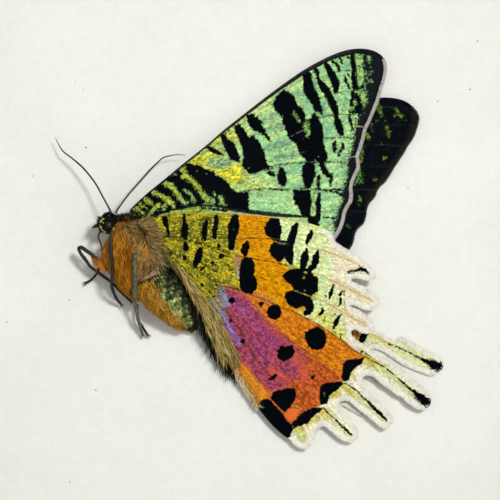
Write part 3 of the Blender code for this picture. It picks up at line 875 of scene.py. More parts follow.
def ease(share: np.ndarray) -> np.ndarray:
    """Smooth step from 0 to 1."""
    share = np.clip(share, 0.0, 1.0)
    return share * share * (3 - 2 * share)


def hinge_share(across: np.ndarray, up: np.ndarray) -> np.ndarray:
    """1 at the wings' hinge, easing to 0 at their outer part."""
    return 1 - ease(np.hypot(across - HINGE[0], up - HINGE[1]) / HINGE_REACH)


def level(lift: float) -> Lift:
    """The same height everywhere."""
    return lambda across, up: np.full(across.shape, lift)


def forewing_left_lift(across: np.ndarray, up: np.ndarray) -> np.ndarray:
    """How high the left forewing's upper face lies."""
    return 1.9 + 2.9 * hinge_share(across, up)


def hindwing_left_lift(across: np.ndarray, up: np.ndarray) -> np.ndarray:
    """How high the left hindwing's upper face lies."""
    return forewing_left_lift(across, up) + 0.7 - 1.2 * ease((-up - 5) / 20)


def forewing_right_lift(across: np.ndarray, up: np.ndarray) -> np.ndarray:
    """How high the right forewing's upper face lies."""
    return 1.15 + 1.3 * hinge_share(across, up)


def hindwing_right_lift(across: np.ndarray, up: np.ndarray) -> np.ndarray:
    """How high the right hindwing's upper face lies."""
    return 0.45 + 1.2 * hinge_share(across, up)


# The left forewing's drawing



INK = tone(2, 5, 9)
BROWN_INK = tone(20, 23, 27)
LIME = tone(204, 210, 72)

FOREWING_LEFT_OUTLINE: Sequence[Pair] = pairs(
    -14.8, 3.5, -16.2, 4.6, -17.6, 5.4, -17.9, 5.9, -17, 6.9, -16, 7.85, -15, 8.75, -14, 9.55, -12, 11.2, -10, 12.9,
    -8, 14.5, -6, 16.15, -4, 17.95, -2, 19.55, 0, 21.15, 2, 22.7, 4, 24.2, 6, 25.65, 8, 27, 10, 28.15, 12, 29.15,
    14, 29.9, 15.5, 30.2, 17, 30.25, 18.4, 30, 19.5, 29.45, 20.2, 28.7, 20.5, 27.8, 20.45, 26.6, 20.2, 25.4,
    19.8, 24.2, 19.45, 22.9, 18.9, 21.5, 18.2, 19.7, 17.4, 18, 17.1, 16.6, 16.7, 15.3, 16.3, 14.1, 16.4, 13.1,
    16.4, 12.3, 15.9, 11.2, 15.45, 10.1, 15.3, 9.2, 15.4, 8.3, 15.25, 7.3, 14.7, 6.4, 14.3, 5.4, 14.1, 4.4, 13.7, 3.2,
    13, 2, 12.2, 1, 9, 0.6, 4, 1.4, -2, 2.4, -8, 2.9, -13.5, 2.6,
)
FOREWING_LEFT_FRINGED = slice(26, 51)

FOREWING_LEFT_ZONES: Sequence[Paint] = (
    Paint(
        "zone_olive", tone(158, 168, 60),
        (line(2.2, -16, 5.5, -13, 7.5, -10.5, 9.5, -9.5, 12), line(1.2, -12, 5.6, -7, 6.2)), 1.6, 0.8, 1,
        tone(96, 118, 62),
    ),
    Paint("zone_yellow", tone(212, 210, 74), (
        line(1.8, -8, 13.2, -6, 12.9, -3.5, 11.4, -1.8, 11), line(1.6, -5.5, 14.4, -2.6, 17.4),
        line(0.8, -0.5, 9.8, 1.5, 9.6),
    ), 1.3, 1.3, 0.9, tone(130, 148, 62)),
    Paint("zone_straw", tone(212, 224, 146), (
        line(1.2, -1.6, 18.6, 0.8, 20.8, 2.6, 22.2), line(0.7, 4.4, 24, 7.6, 26.2), line(0.6, 3.4, 19.6, 4, 18.6),
        line(0.5, 0.6, 10.6, 3.6, 9.4),
    ), 1, 1, 0.8, tone(160, 190, 120)),
    Paint("zone_gold", tone(232, 220, 40), (
        line(0.4, -8.2, 13.1, -6.6, 13.9, -5.6, 14.1), line(0.55, -4.3, 11.2, -2.6, 11.9, -1.4, 12.5),
        line(0.35, -3.2, 10.5, -1.4, 11), line(0.2, -4.9, 16.4, -3.9, 16.9),
    ), 0.4, 1, 0.85, tone(176, 170, 36)),
    Paint("zone_teal", tone(126, 168, 128), (
        line(0.5, 3.2, 15.2, 5.6, 15.9, 6.6, 16.1), line(0.5, 3.2, 18, 4.6, 18.4), line(0.6, -5.6, 13.3, -3.7, 12.9),
        line(0.35, 2, 19.6, 4.4, 20.4), line(0.45, 7.2, 23.4, 8.2, 23.7), line(0.5, -0.2, 8.4, 1.4, 8),
        line(0.4, 9.2, 25.2, 9.8, 23.6), line(0.5, 4, 13.9, 6.4, 14.3), line(0.5, -4.4, 15.6, -3.6, 15.2),
        line(0.4, 10.9, 21.4, 11.2, 19.4), line(0.35, 14.2, 23, 13.9, 21.4),
    ), 0.6, 1, 0.85, tone(86, 128, 112)),
    Paint("zone_pale", tone(182, 220, 152), (
        line(1, 13.6, 18.6, 14.2, 15, 13, 12, 12.4, 8, 12, 5.5), line(1, 0.2, 7.5, 5, 7.2),
        line(0.7, 14, 21.6, 14, 25, 12, 28), line(0.8, 11, 6, 12.5, 3), line(0.6, 16.4, 25.5, 17, 22.6),
        line(0.9, 4.8, 21.4, 6, 20.6),
    ), 0.9, 0.9, 0.8, tone(148, 196, 142)),
)

FOREWING_LEFT_VEINS: Sequence[Stroke] = (
    line(0.11, -15, 4.7, -13.5, 5.3, -12, 5.9, -10, 6.4, -8.5, 6.75, -6.5, 6.7, -5, 6.4, -3, 6.05),
    line(0.2, -3, 6.05, 0, 5.6, 2, 5.35, 5, 5.1, 7.7, 5.05, 10.5, 4.85),
    line(0.07, -1, 8.8, 3, 9.2, 8, 9.3, 11, 9.1, 13, 9),
    line(0.07, 2.5, 12, 3.5, 12.3, 5, 12.7, 7, 13.1, 8.4, 13.2, 11.5, 13.2, 14.5, 13.15),
    line(0.05, 11, 16.85, 15.5, 16.85), line(0.05, 10.9, 20.1, 12.5, 20.1, 13.4, 20.3, 16.5, 20.5),
    line(0.06, 8.4, 22.2, 12.6, 23.5, 13.5, 23.7, 15, 23.9, 17.6, 24),
    line(0.05, 10.5, 25.9, 12.8, 26.8, 14, 27, 15.3, 27.1, 17.5, 27.2),
    line(0.04, 2.5, 13.2, 5, 13.6, 6, 14.1, 7.6, 14.6), line(0.04, -9, 13.2, -5, 16.4, -1, 19.8, 3, 23, 7, 26),
    line(0.035, -9.4, 12.4, -5.4, 15.6, -1.2, 18.9, 3.6, 22.6, 8, 25.8),
)

FOREWING_LEFT_BARS: Sequence[Shape] = (
    patch(
        3.3, 22, 3.6, 21.2, 4.2, 20.6, 4.75, 19.9, 4.8, 19.3, 5.2, 18.3, 5.5, 17.8, 5.6, 17.2, 6, 16.6, 6.6, 16.1,
        7.1, 15.6, 7.1, 15, 7.3, 14.5, 7.8, 14, 8.3, 13.6, 8.5, 13.2, 11.6, 13.2, 11.7, 14.2, 11.5, 14.8, 11.3, 15.5,
        11, 16.7, 11.1, 17.3, 11, 18, 10.9, 18.6, 10.7, 19.3, 10.3, 19.9, 9.9, 20.8, 9.2, 20.3, 9.15, 19.7, 8.4, 19.7,
        8.3, 20.5, 8, 21, 7.6, 21.5, 7.2, 21.8, 7, 22.2, 6.8, 22.7, 6.5, 23.2, 6.1, 23.6, 5.6, 23.9, 5.1, 24.2,
        4.2, 23.4,
    ),
    brush(
        7.9, 27.3, 0.5, 8.5, 26.6, 0.6, 8.6, 25.8, 0.7, 8.75, 25, 0.8, 8.85, 24, 0.92, 9.3, 23.3, 0.9,
        9.7, 22.7, 0.75, 10, 22, 0.62, 10.2, 21.3, 0.68, 10.4, 20.7, 0.6,
    ),
    brush(
        10.2, 25.9, 0.2, 10.45, 25.2, 0.4, 10.95, 24.6, 0.6, 11.4, 24, 0.6, 11.8, 23.3, 0.6, 12.15, 22.6, 0.65,
        12.4, 22, 0.65, 12.7, 21.3, 0.6, 12.95, 20.6, 0.45, 12.95, 20, 0.4, 13.15, 19.4, 0.55, 13.35, 18.7, 0.65,
        13.55, 18, 0.6, 13.7, 17.5, 0.4,
    ),
    brush(
        11.2, 28.6, 0.4, 11.5, 27.7, 0.45, 11.9, 27, 0.52, 12.2, 26.5, 0.55, 12.45, 26, 0.58, 12.75, 25.4, 0.68,
        12.9, 24.8, 0.66, 12.95, 24.3, 0.5, 12.8, 23.8, 0.3, 12.7, 23.4, 0.15,
    ),
    brush(9.6, 27.6, 0.2, 9.95, 27, 0.38, 10.2, 26.4, 0.3, 10.3, 25.8, 0.2),
    brush(13.2, 29.4, 0.2, 13.7, 28.6, 0.24, 13.8, 28, 0.12), line(0.16, 12, 29, 12.4, 28.2),
    line(0.14, 14.6, 29.6, 14.7, 28.9), line(0.16, 16.3, 29.7, 16.5, 28.9), line(0.12, 16.3, 26.6, 16.9, 26.2),
    line(0.15, 16.9, 25.4, 17.3, 24.6), brush(12.5, 28.5, 0.15, 12.9, 28, 0.25, 13.3, 27.5, 0.28, 13.4, 27, 0.25),
    brush(14.6, 26.6, 0.1, 14.8, 26.2, 0.15), line(0.2, 16.1, 27.7, 16.9, 27.45, 17.5, 27.4),
    brush(15.9, 24.4, 0.3, 16.6, 24.45, 0.38, 17.5, 24.7, 0.3), line(0.06, 11.3, 26.3, 13, 26.75, 15.2, 27),
    line(0.16, 17.3, 26.6, 17.5, 25.2),
    brush(14.2, 26.2, 0.15, 14.4, 25.5, 0.24, 14.75, 24.8, 0.22, 14.95, 24.3, 0.15),
    brush(15.45, 29.6, 0.4, 15.5, 28.5, 0.46, 15.7, 27.2, 0.46, 15.7, 26, 0.54, 15.8, 25, 0.58, 15.9, 24.1, 0.55),
    patch(15.1, 24, 15.1, 23, 14.9, 22.2, 15.1, 21.4, 14.8, 21, 15, 20.5, 16.4, 20.3, 18.6, 20.6, 18.8, 24),
    brush(14.9, 20.2, 0.15, 15, 19.6, 0.25, 15.2, 19, 0.28, 15.35, 18.4, 0.22, 15.35, 17.8, 0.12),
    brush(12.8, 16.4, 0.15, 12.65, 15.8, 0.3, 12.65, 15.2, 0.3, 12.7, 14.7, 0.15),
    brush(13.95, 16.1, 0.15, 14, 15.6, 0.22, 13.9, 15.1, 0.2, 13.5, 14.7, 0.22, 13.3, 14.3, 0.2, 13.6, 14.2, 0.15),
    patch(
        8.3, 13.3, 8.2, 13, 7.9, 12.5, 7.8, 11.8, 7.7, 11.2, 7.8, 10.7, 8, 10.2, 8.1, 9.2, 9.2, 9.1, 9.2, 9.8,
        9.5, 10.2, 9.8, 10.9, 9.95, 11.2, 9.9, 11.8, 9.8, 12.4, 9.8, 13.3,
    ),
    brush(
        10.7, 13, 0.45, 11, 12.4, 0.45, 11.3, 11.8, 0.5, 11.7, 11.3, 0.4, 12.15, 11.2, 0.35, 12.3, 10.8, 0.3,
        12.1, 10.2, 0.27, 12.05, 9.8, 0.15,
    ),
    brush(10.35, 11, 0.35, 10.3, 10.3, 0.3, 10.3, 9.6, 0.3, 10.3, 9.1, 0.25),
    patch(
        6.5, 9.1, 6.4, 8.2, 6.6, 7.5, 6.7, 7, 7.2, 6.5, 7.4, 6, 7.6, 5.3, 8.5, 4.9, 8.7, 4.2, 8.8, 3.7, 10.5, 3.4,
        10.4, 4, 10.2, 4.7, 9.1, 5.4, 9.2, 6, 9.3, 6.6, 9.35, 7.2, 9.3, 7.8, 9.2, 8.3, 9.1, 9.1,
    ),
    brush(10.4, 8.5, 0.25, 10.25, 7.6, 0.42, 10.25, 6.8, 0.48, 10.25, 6, 0.45, 10.3, 5.3, 0.45, 10.2, 4.6, 0.45),
    brush(11.6, 9, 0.12, 13, 9.1, 0.2, 14.5, 9, 0.3),
    brush(-6.3, 15.4, 0.35, -5.4, 14.9, 0.4, -4.6, 14.5, 0.3, -4.1, 14.4, 0.15),
    brush(-4.1, 17.2, 0.4, -3.7, 16.4, 0.6, -3.1, 15.6, 0.8, -2.7, 14.8, 0.85, -2.4, 14.1, 0.8, -2, 13.6, 0.5),
    patch(
        -2.3, 18.9, -1.6, 18.95, -1.2, 18.4, -0.7, 17.8, 0, 16.9, 1.1, 16, 1.6, 15.1, 2, 14.1, 2.7, 12.9, 2.9, 12.1,
        2, 11.9, 0.9, 11.45, 0.1, 11.3, -0.6, 11.9, -1.1, 12.5, -1.2, 13.1, -1, 13.7, -1.2, 14.8, -1.5, 16.1,
        -1.8, 17, -2.4, 17.8,
    ),
    patch(
        -0.6, 20.4, 0.3, 20.5, 1.2, 19.95, 1.6, 19.6, 2, 18.7, 2.2, 18.1, 2.5, 17.9, 2.5, 17.5, 2.9, 17.1, 3, 16.8,
        3.3, 16.2, 2.8, 16.4, 2.3, 16.9, 1.9, 17.35, 1.2, 17.65, 0.5, 18, 0, 18.6, -0.4, 19.1,
    ),
    brush(2.6, 11.6, 0.25, 3.1, 11.5, 0.42, 3.6, 11.3, 0.3),
    brush(4.7, 12, 0.45, 4.75, 11.2, 0.72, 4.85, 10.4, 0.75, 5, 10, 0.45),
    patch(
        -9.9, 13.1, -8.5, 12.9, -8, 12.7, -7.2, 12.6, -6.7, 12.2, -6, 12, -5.5, 11.8, -5, 11.2, -4.3, 10.9,
        -3.8, 10.5, -3.2, 9.9, -2.9, 9.5, -2.4, 9, -1.9, 8.7, -0.2, 8.8, -0.2, 8, -0.1, 7.2, -0.2, 6.5, 0, 5.7,
        -3.8, 6.2, -5.3, 6.5, -6.5, 7, -12, 5.4, -16.2, 4.4, -18.2, 5.9, -15, 9, -12, 11.4,
    ),
    line(0.22, -13.2, 5, -10, 6, -7, 6.3, -3.5, 5.9),
    brush(0.3, 16.9, 0.45, 1.1, 15.8, 0.5, 1.7, 14.6, 0.5, 2.1, 13.4, 0.45),
    line(0.08, 2.6, 12.4, 5, 12.9, 8.25, 13.2), line(0.09, 11.25, 13.25, 13, 13.2, 14.75, 13.05),
    line(0.07, 0, 9.25, 3.75, 9.1, 7.25, 8.9),
    brush(9.3, 9.1, 0.1, 11.6, 9, 0.13, 12.75, 8.75, 0.18, 14.5, 8.1, 0.32),
    brush(10.4, 5, 0.1, 12, 4.85, 0.14, 13.7, 4.6, 0.28),
    line(0.06, 10.25, 20, 12.25, 20.25, 14.75, 20.4, 16.75, 20.25), line(0.05, 11.25, 16.7, 13.5, 16.9, 15.5, 16.8),
)

FOREWING_LEFT_ISLANDS: Sequence[Shape] = (
    brush(8.4, 19.2, 0.2, 8.5, 18.7, 0.35, 8.45, 18.2, 0.3), brush(8.75, 18, 0.25, 8.8, 17.6, 0.25, 8.6, 17.2, 0.15),
    patch(10, 20.8, 10.4, 20.7, 10.9, 20.1, 10, 20.2), line(0.14, 6.6, 20.6, 6.8, 20.2, 7, 19.8, 7.4, 19.4),
    patch(15.75, 29.5, 16.7, 29.5, 17, 28.3, 16.6, 28, 16.3, 28.6, 15.95, 28.1), dot(17.95, 28.4, 0.26),
    dot(17.75, 29, 0.12), dot(16.5, 27.6, 0.26),
    patch(16, 27, 17.1, 27, 17.1, 25.6, 16.8, 25.2, 16.5, 24.4, 16.3, 24.9, 16.1, 26), dot(17.4, 26.8, 0.12),
    dot(17.9, 26.4, 0.13), dot(18.2, 25.5, 0.14), dot(17.3, 25.1, 0.12), dot(17.4, 24.7, 0.1), dot(18.4, 26.9, 0.08),
    patch(16.1, 23.8, 17.3, 23.85, 17.5, 23, 17.6, 22.2, 17.2, 21.6, 16.9, 21.8, 16.7, 22.6, 16.3, 23.2),
    line(0.18, 15.8, 22.3, 15.8, 21.8), dot(15.3, 21.2, 0.28), dot(15.85, 23.75, 0.12),
    line(0.3, 9.6, 8.7, 9.65, 7.7), line(0.2, 9.5, 6.3, 9.5, 5.5), dot(-5.3, 8.4, 0.2),
    line(0.28, -5.6, 7.5, -5.6, 6.9), patch(-4.7, 8.2, -4.1, 8.1, -3.9, 7, -3.3, 6.4, -4.6, 6.5),
    patch(-9.1, 13.7, -8.4, 13.7, -8.5, 13.1, -9, 13.1),
    patch(-10.6, 12.4, -10, 12.5, -9.7, 11.8, -10.1, 11.5, -10.6, 11.9), dot(-11.3, 11.25, 0.2),
    brush(
        -9.9, 11, 0.35, -9, 10.8, 0.27, -8.4, 10.1, 0.27, -7.8, 9.5, 0.28, -7.4, 8.8, 0.33, -7, 8.2, 0.38,
        -6.5, 7.6, 0.4, -5.8, 7.3, 0.33,
    ),
    line(0.18, -9.7, 8.9, -9.2, 8.6, -8.7, 8.2, -8.6, 7.5, -8.3, 7.2),
    brush(
        -12.6, 9.9, 0.35, -11.8, 9.6, 0.35, -11.3, 9.1, 0.35, -10.9, 8.4, 0.3, -10.5, 7.8, 0.3, -10, 7.2, 0.33,
        -9.5, 7, 0.3,
    ),
    brush(
        -14.3, 8.6, 0.3, -13.6, 8.2, 0.27, -12.9, 7.8, 0.3, -12.3, 7.7, 0.27, -11.9, 7.2, 0.27, -11.5, 6.8, 0.28,
        -11.3, 6.4, 0.25,
    ),
    brush(-15.7, 7.6, 0.25, -15.1, 7.3, 0.27, -14.7, 6.8, 0.22), line(0.13, -16.4, 6.9, -15.5, 6.2),
    line(0.12, -16.9, 6.4, -16, 5.5), line(0.1, -17.3, 6.1, -16.5, 5.3), line(0.22, -15.4, 4.7, -14.9, 5.4, -14.4, 6),
    line(0.33, -14.2, 6.3, -13.6, 6.6), line(0.25, -12.9, 6.2, -12.5, 6.7), line(0.22, -13.3, 5.1, -12.3, 5.35),
    line(0.28, -11.6, 5.5, -10.6, 5.8), line(0.38, -9.8, 5.8, -8.8, 6.1, -7.7, 6.1), line(0.15, -6.7, 6.5, -6.2, 6.3),
)

FOREWING_LEFT_DARK_MARGIN = patch(
    16.8, 30.4, 16.9, 29.2, 16.7, 28.2, 16.9, 27.4, 16.8, 26.2, 17.1, 25.2, 16.9, 24.2, 17.3, 23, 17.1, 21.6,
    16.5, 20.4, 16.1, 19.4, 15.8, 18.2, 15.6, 17, 15.45, 16, 15.3, 15, 14.9, 14, 14.5, 13.1, 14.65, 12, 14.6, 11,
    14.3, 10, 13.9, 9.3, 14, 8, 13.6, 7, 13.2, 6, 13, 5, 12.6, 4, 12.6, 2.6, 15, 2.6, 19, 14, 22, 26, 20, 31,
)

# The forewing's dark hind vein where the hindwing's top edge meets it, widened with painted shade in the gap between
# the two wings.
FOREWING_HIND_VEIN_AND_SHADE = brush(
    -15.3, 4.8, 0.08, -11.7, 6, 0.12, -7.5, 6.7, 0.16, -4.5, 6.55, 0.2, 0, 5.85, 0.2, 2.5, 5.6, 0.16, 8, 5.1, 0.1,
)

FOREWING_LEFT_MARKS: Sequence[Paint] = (
    Paint("veins", tone(10, 18, 16), FOREWING_LEFT_VEINS, 0.08, 0.12, 0.95),
    Paint("margin_dust", tone(24, 30, 32), (FOREWING_LEFT_DARK_MARGIN,), 0.12, 0.3, 0.95, None, 7),
    Paint("apex_dust", tone(16, 26, 28), (patch(
        12.6, 29.6, 17.4, 30, 17.6, 24, 16.6, 19, 15.6, 14, 15, 9, 13.6, 8.6, 13.6, 13, 14.2, 17.6, 14.4, 21,
        13.8, 25,
    ),), 0.1, 0.3, 0.85, None, 5, 0.62),
    Paint("bars", INK, FOREWING_LEFT_BARS, 0.06, 0.4, 1, None, 0.2),
    Paint("dark_margin", BROWN_INK, (FOREWING_LEFT_DARK_MARGIN,), 0.1, 0.6, 1, None, 0.8),
    Paint("apex_islands", tone(150, 206, 158), (
        line(0.16, 17.9, 28.9, 17.95, 28.2), dot(17.4, 26.5, 0.12), line(0.08, 17.5, 25.9, 17.9, 25.3),
        line(0.07, 17, 26.9, 17.3, 26.5), line(0.07, 18, 26.8, 18.1, 26.3), dot(17.2, 27.8, 0.08),
        dot(18.2, 27.5, 0.06), line(0.06, 17.3, 24.4, 17.5, 23.8), dot(16.9, 21.2, 0.08), dot(17.1, 20.6, 0.07),
    ), 0.06, 0.3, 0.9, tone(96, 150, 126), 0.5),
    Paint("islands", tone(174, 206, 116), FOREWING_LEFT_ISLANDS, 0.07, 0.5, 0.95, tone(82, 124, 74), 0.7),
    Paint("lime_islands", LIME, (
        line(0.3, -9.9, 12.1, -9.8, 11), line(0.25, -12.5, 9.8, -11.6, 9.4), line(0.25, -14.2, 8.5, -13.2, 8),
        line(0.22, -15.6, 7.5, -14.8, 6.9), line(0.3, -14.2, 6.2, -13.6, 6.6), line(0.2, -13.2, 5.1, -12.4, 5.3),
        line(0.26, -11.6, 5.5, -10.6, 5.8), line(0.3, -9.8, 5.8, -8, 6.1), line(0.22, -9, 13.5, -8.5, 13.4),
        line(0.18, -7, 8.1, -6.4, 7.5), line(0.1, -16.4, 6.9, -15.5, 6.2), line(0.1, -16.9, 6.4, -16, 5.5),
        line(0.3, -9.4, 10.9, -8.1, 9.8, -7.2, 8.6), line(0.3, -11.4, 9.2, -10.6, 8),
        line(0.3, -12.8, 7.8, -11.6, 6.8),
    ), 0.12, 0.7, 0.9, tone(134, 142, 40), 1),
    Paint("base_dust", INK, (
        patch(-18.2, 5.6, -15, 8.8, -11.6, 11.7, -9.2, 12.4, -7.8, 10.6, -6.2, 8.4, -6, 6, -12, 5.2),
    ), 0.1, 0.3, 0.85, None, 5, 0.7),
    # Dark hind vein with painted shade along it.
    Paint("hind_vein_and_shade", tone(6, 10, 12), (FOREWING_HIND_VEIN_AND_SHADE,), 0.08, 0.2, 0.95),
    # Painted sheen: grey-pink highlight lines and a dot over the black bars.
    Paint("bar_sheen", tone(122, 96, 98), (
        line(0.06, 6.2, 17.1, 7, 17.5, 8.2, 18.1), line(0.05, 7.4, 14.5, 8.4, 14.8), dot(10.3, 10.3, 0.16),
    ), 0.08, 0.2, 0.75),
    Paint("pale_flecks", tone(196, 196, 176), (
        dot(8.05, 16.7, 0.08), dot(-0.2, 12.3, 0.09), dot(-7.9, 11.8, 0.07), dot(-6.5, 11.4, 0.08),
        dot(9.8, 13.5, 0.1), dot(10.3, 14, 0.08), dot(4.9, 20.1, 0.06), dot(13.9, 9.2, 0.1),
        line(0.07, 16.1, 18.6, 17, 18.5), line(0.06, 14.9, 13.9, 16, 14.1),
    ), 0.07, 0.1, 0.85),
    Paint("costa", tone(20, 22, 26), (brush(
        -18.2, 5.8, 0.25, -16, 8, 0.3, -12, 11.35, 0.4, -8, 14.7, 0.45, -4, 18.1, 0.5, 0, 21.3, 0.55, 4, 24.35, 0.62,
        8, 27.15, 0.72, 12, 29.3, 0.8, 15.5, 30.35, 0.85, 18.4, 30.1, 0.8,
    ),), 0.06, 0.12),
    Paint("costa_shine", tone(92, 86, 78), (
        line(0.05, -12, 11.05, -8, 14.4, -4, 17.75, 0, 21, 4, 24.02, 8, 26.8, 12, 28.95, 15, 29.85),
    ), 0.1, 0.15, 0.6),
    Paint("margin_fringe", tone(184, 176, 172), (brush(
        20.4, 28.5, 0.12, 20.6, 27.8, 0.2, 20.5, 26.6, 0.25, 20.25, 25.4, 0.3, 19.85, 24.2, 0.36, 19.5, 22.9, 0.4,
        18.95, 21.5, 0.4, 18.25, 19.7, 0.42, 17.45, 18, 0.44, 17.15, 16.6, 0.46, 16.75, 15.3, 0.46, 16.35, 14.1, 0.46,
        16.45, 13.1, 0.46, 16.45, 12.3, 0.46, 15.95, 11.2, 0.48, 15.5, 10.1, 0.48, 15.35, 9.2, 0.48, 15.45, 8.3, 0.48,
        15.3, 7.3, 0.48, 14.75, 6.4, 0.48, 14.35, 5.4, 0.48, 14.15, 4.4, 0.48, 13.75, 3.2, 0.48, 13.05, 2, 0.5,
    ),), 0.08, 0.1),
)


# The left hindwing's drawing

HINDWING_LEFT_TOP: Sequence[Pair] = pairs(
    -14.6, 4.5, -13.5, 4.95, -12, 5.15, -10, 5.35, -8, 5.5, -5.5, 5.5, -3, 5.5, -1, 5.42, 1, 5.22, 3, 5, 5, 4.75,
    6.2, 4.4, 7.5, 4.15, 9, 3.95, 10.3, 3.55,
)
HINDWING_LEFT_MARGIN: Sequence[Pair] = pairs(
    11.6, 2.95, 12.4, 2.2, 12.6, 1.4, 13.6, 0.6, 14.8, -0.1, 16.1, -0.9, 17.3, -1.8, 18.3, -2.8, 18.9, -3.7,
    18.8, -4.3, 18.2, -4.6, 17, -4.4, 16, -4.15, 15.2, -4.3, 15.2, -4.7, 16.2, -5.15, 17.6, -5.8, 18.8, -6.7,
    19.4, -7.6, 19.1, -8.5, 18.1, -8.95, 16.9, -8.8, 15.9, -8.3, 15.1, -8.2, 15.2, -8.6, 16.4, -9.1, 17.6, -9.9,
    18.4, -10.8, 18.7, -11.6, 18.3, -12.2, 17.6, -12.5, 16.7, -12.3, 15.9, -11.9, 15.25, -12, 15.15, -12.7,
    15.6, -13.3, 16.3, -13.9, 17, -14.15, 17.8, -14.7, 18.5, -15.3, 19.5, -16, 20.6, -16.4, 21.9, -17.2, 23, -18,
    24.2, -19, 25.3, -20, 26.2, -20.8, 26.9, -21.5, 27.2, -22.3, 27.2, -23.1, 26.7, -23.8, 26.1, -24.05, 25.3, -23.9,
    24.4, -23.4, 23.7, -22.9, 23, -22.2, 22.2, -21.8, 21, -20.9, 20.1, -20.3, 19.3, -19.6, 18.5, -18.95, 17.4, -18.85,
    16.9, -19.3, 16.9, -20, 17.4, -20.8, 18.3, -21.8, 19.5, -22.8, 20.3, -23.7, 21.1, -24.7, 21.5, -25.5, 21.3, -26.2,
    20.8, -26.7, 20.1, -26.85, 19.2, -26.2, 18.5, -25.6, 17.8, -25, 17, -24.4, 16, -23.6, 15, -22.8, 14.3, -22.6,
    13.5, -22.9, 13.5, -23.6, 14.3, -24.6, 15.2, -25.7, 15.9, -26.6, 16.3, -27.4, 16.2, -28.1, 15.7, -28.7,
    15.1, -28.9, 14.2, -28.7, 13.2, -28.1, 12.2, -27.2, 11.3, -26.5, 10.7, -26.5, 10.3, -26.9, 9.9, -27.7, 9.5, -28.6,
    9.1, -29.4, 8.4, -29.9, 7.6, -29.8, 6.9, -29.4, 6.3, -28.8,
)
HINDWING_LEFT_INNER: Sequence[Pair] = pairs(
    5.2, -28, 4.2, -27.2, 3.2, -26.2, 2.4, -25.3, 1.6, -24.3, 0.6, -23.4, -0.1, -22, -1, -20.7, -1.9, -19.3,
    -2.8, -17.9, -3.7, -16.4, -4.6, -14.8, -5.2, -13.2, -5.9, -11.6, -6.8, -10, -7.6, -8.4, -8.6, -6.9, -9.6, -5.4,
    -10.6, -4, -11.5, -2.7, -12.4, -1.2, -13.2, 0, -13.6, 1, -13.9, 2, -14.3, 3.2,
)

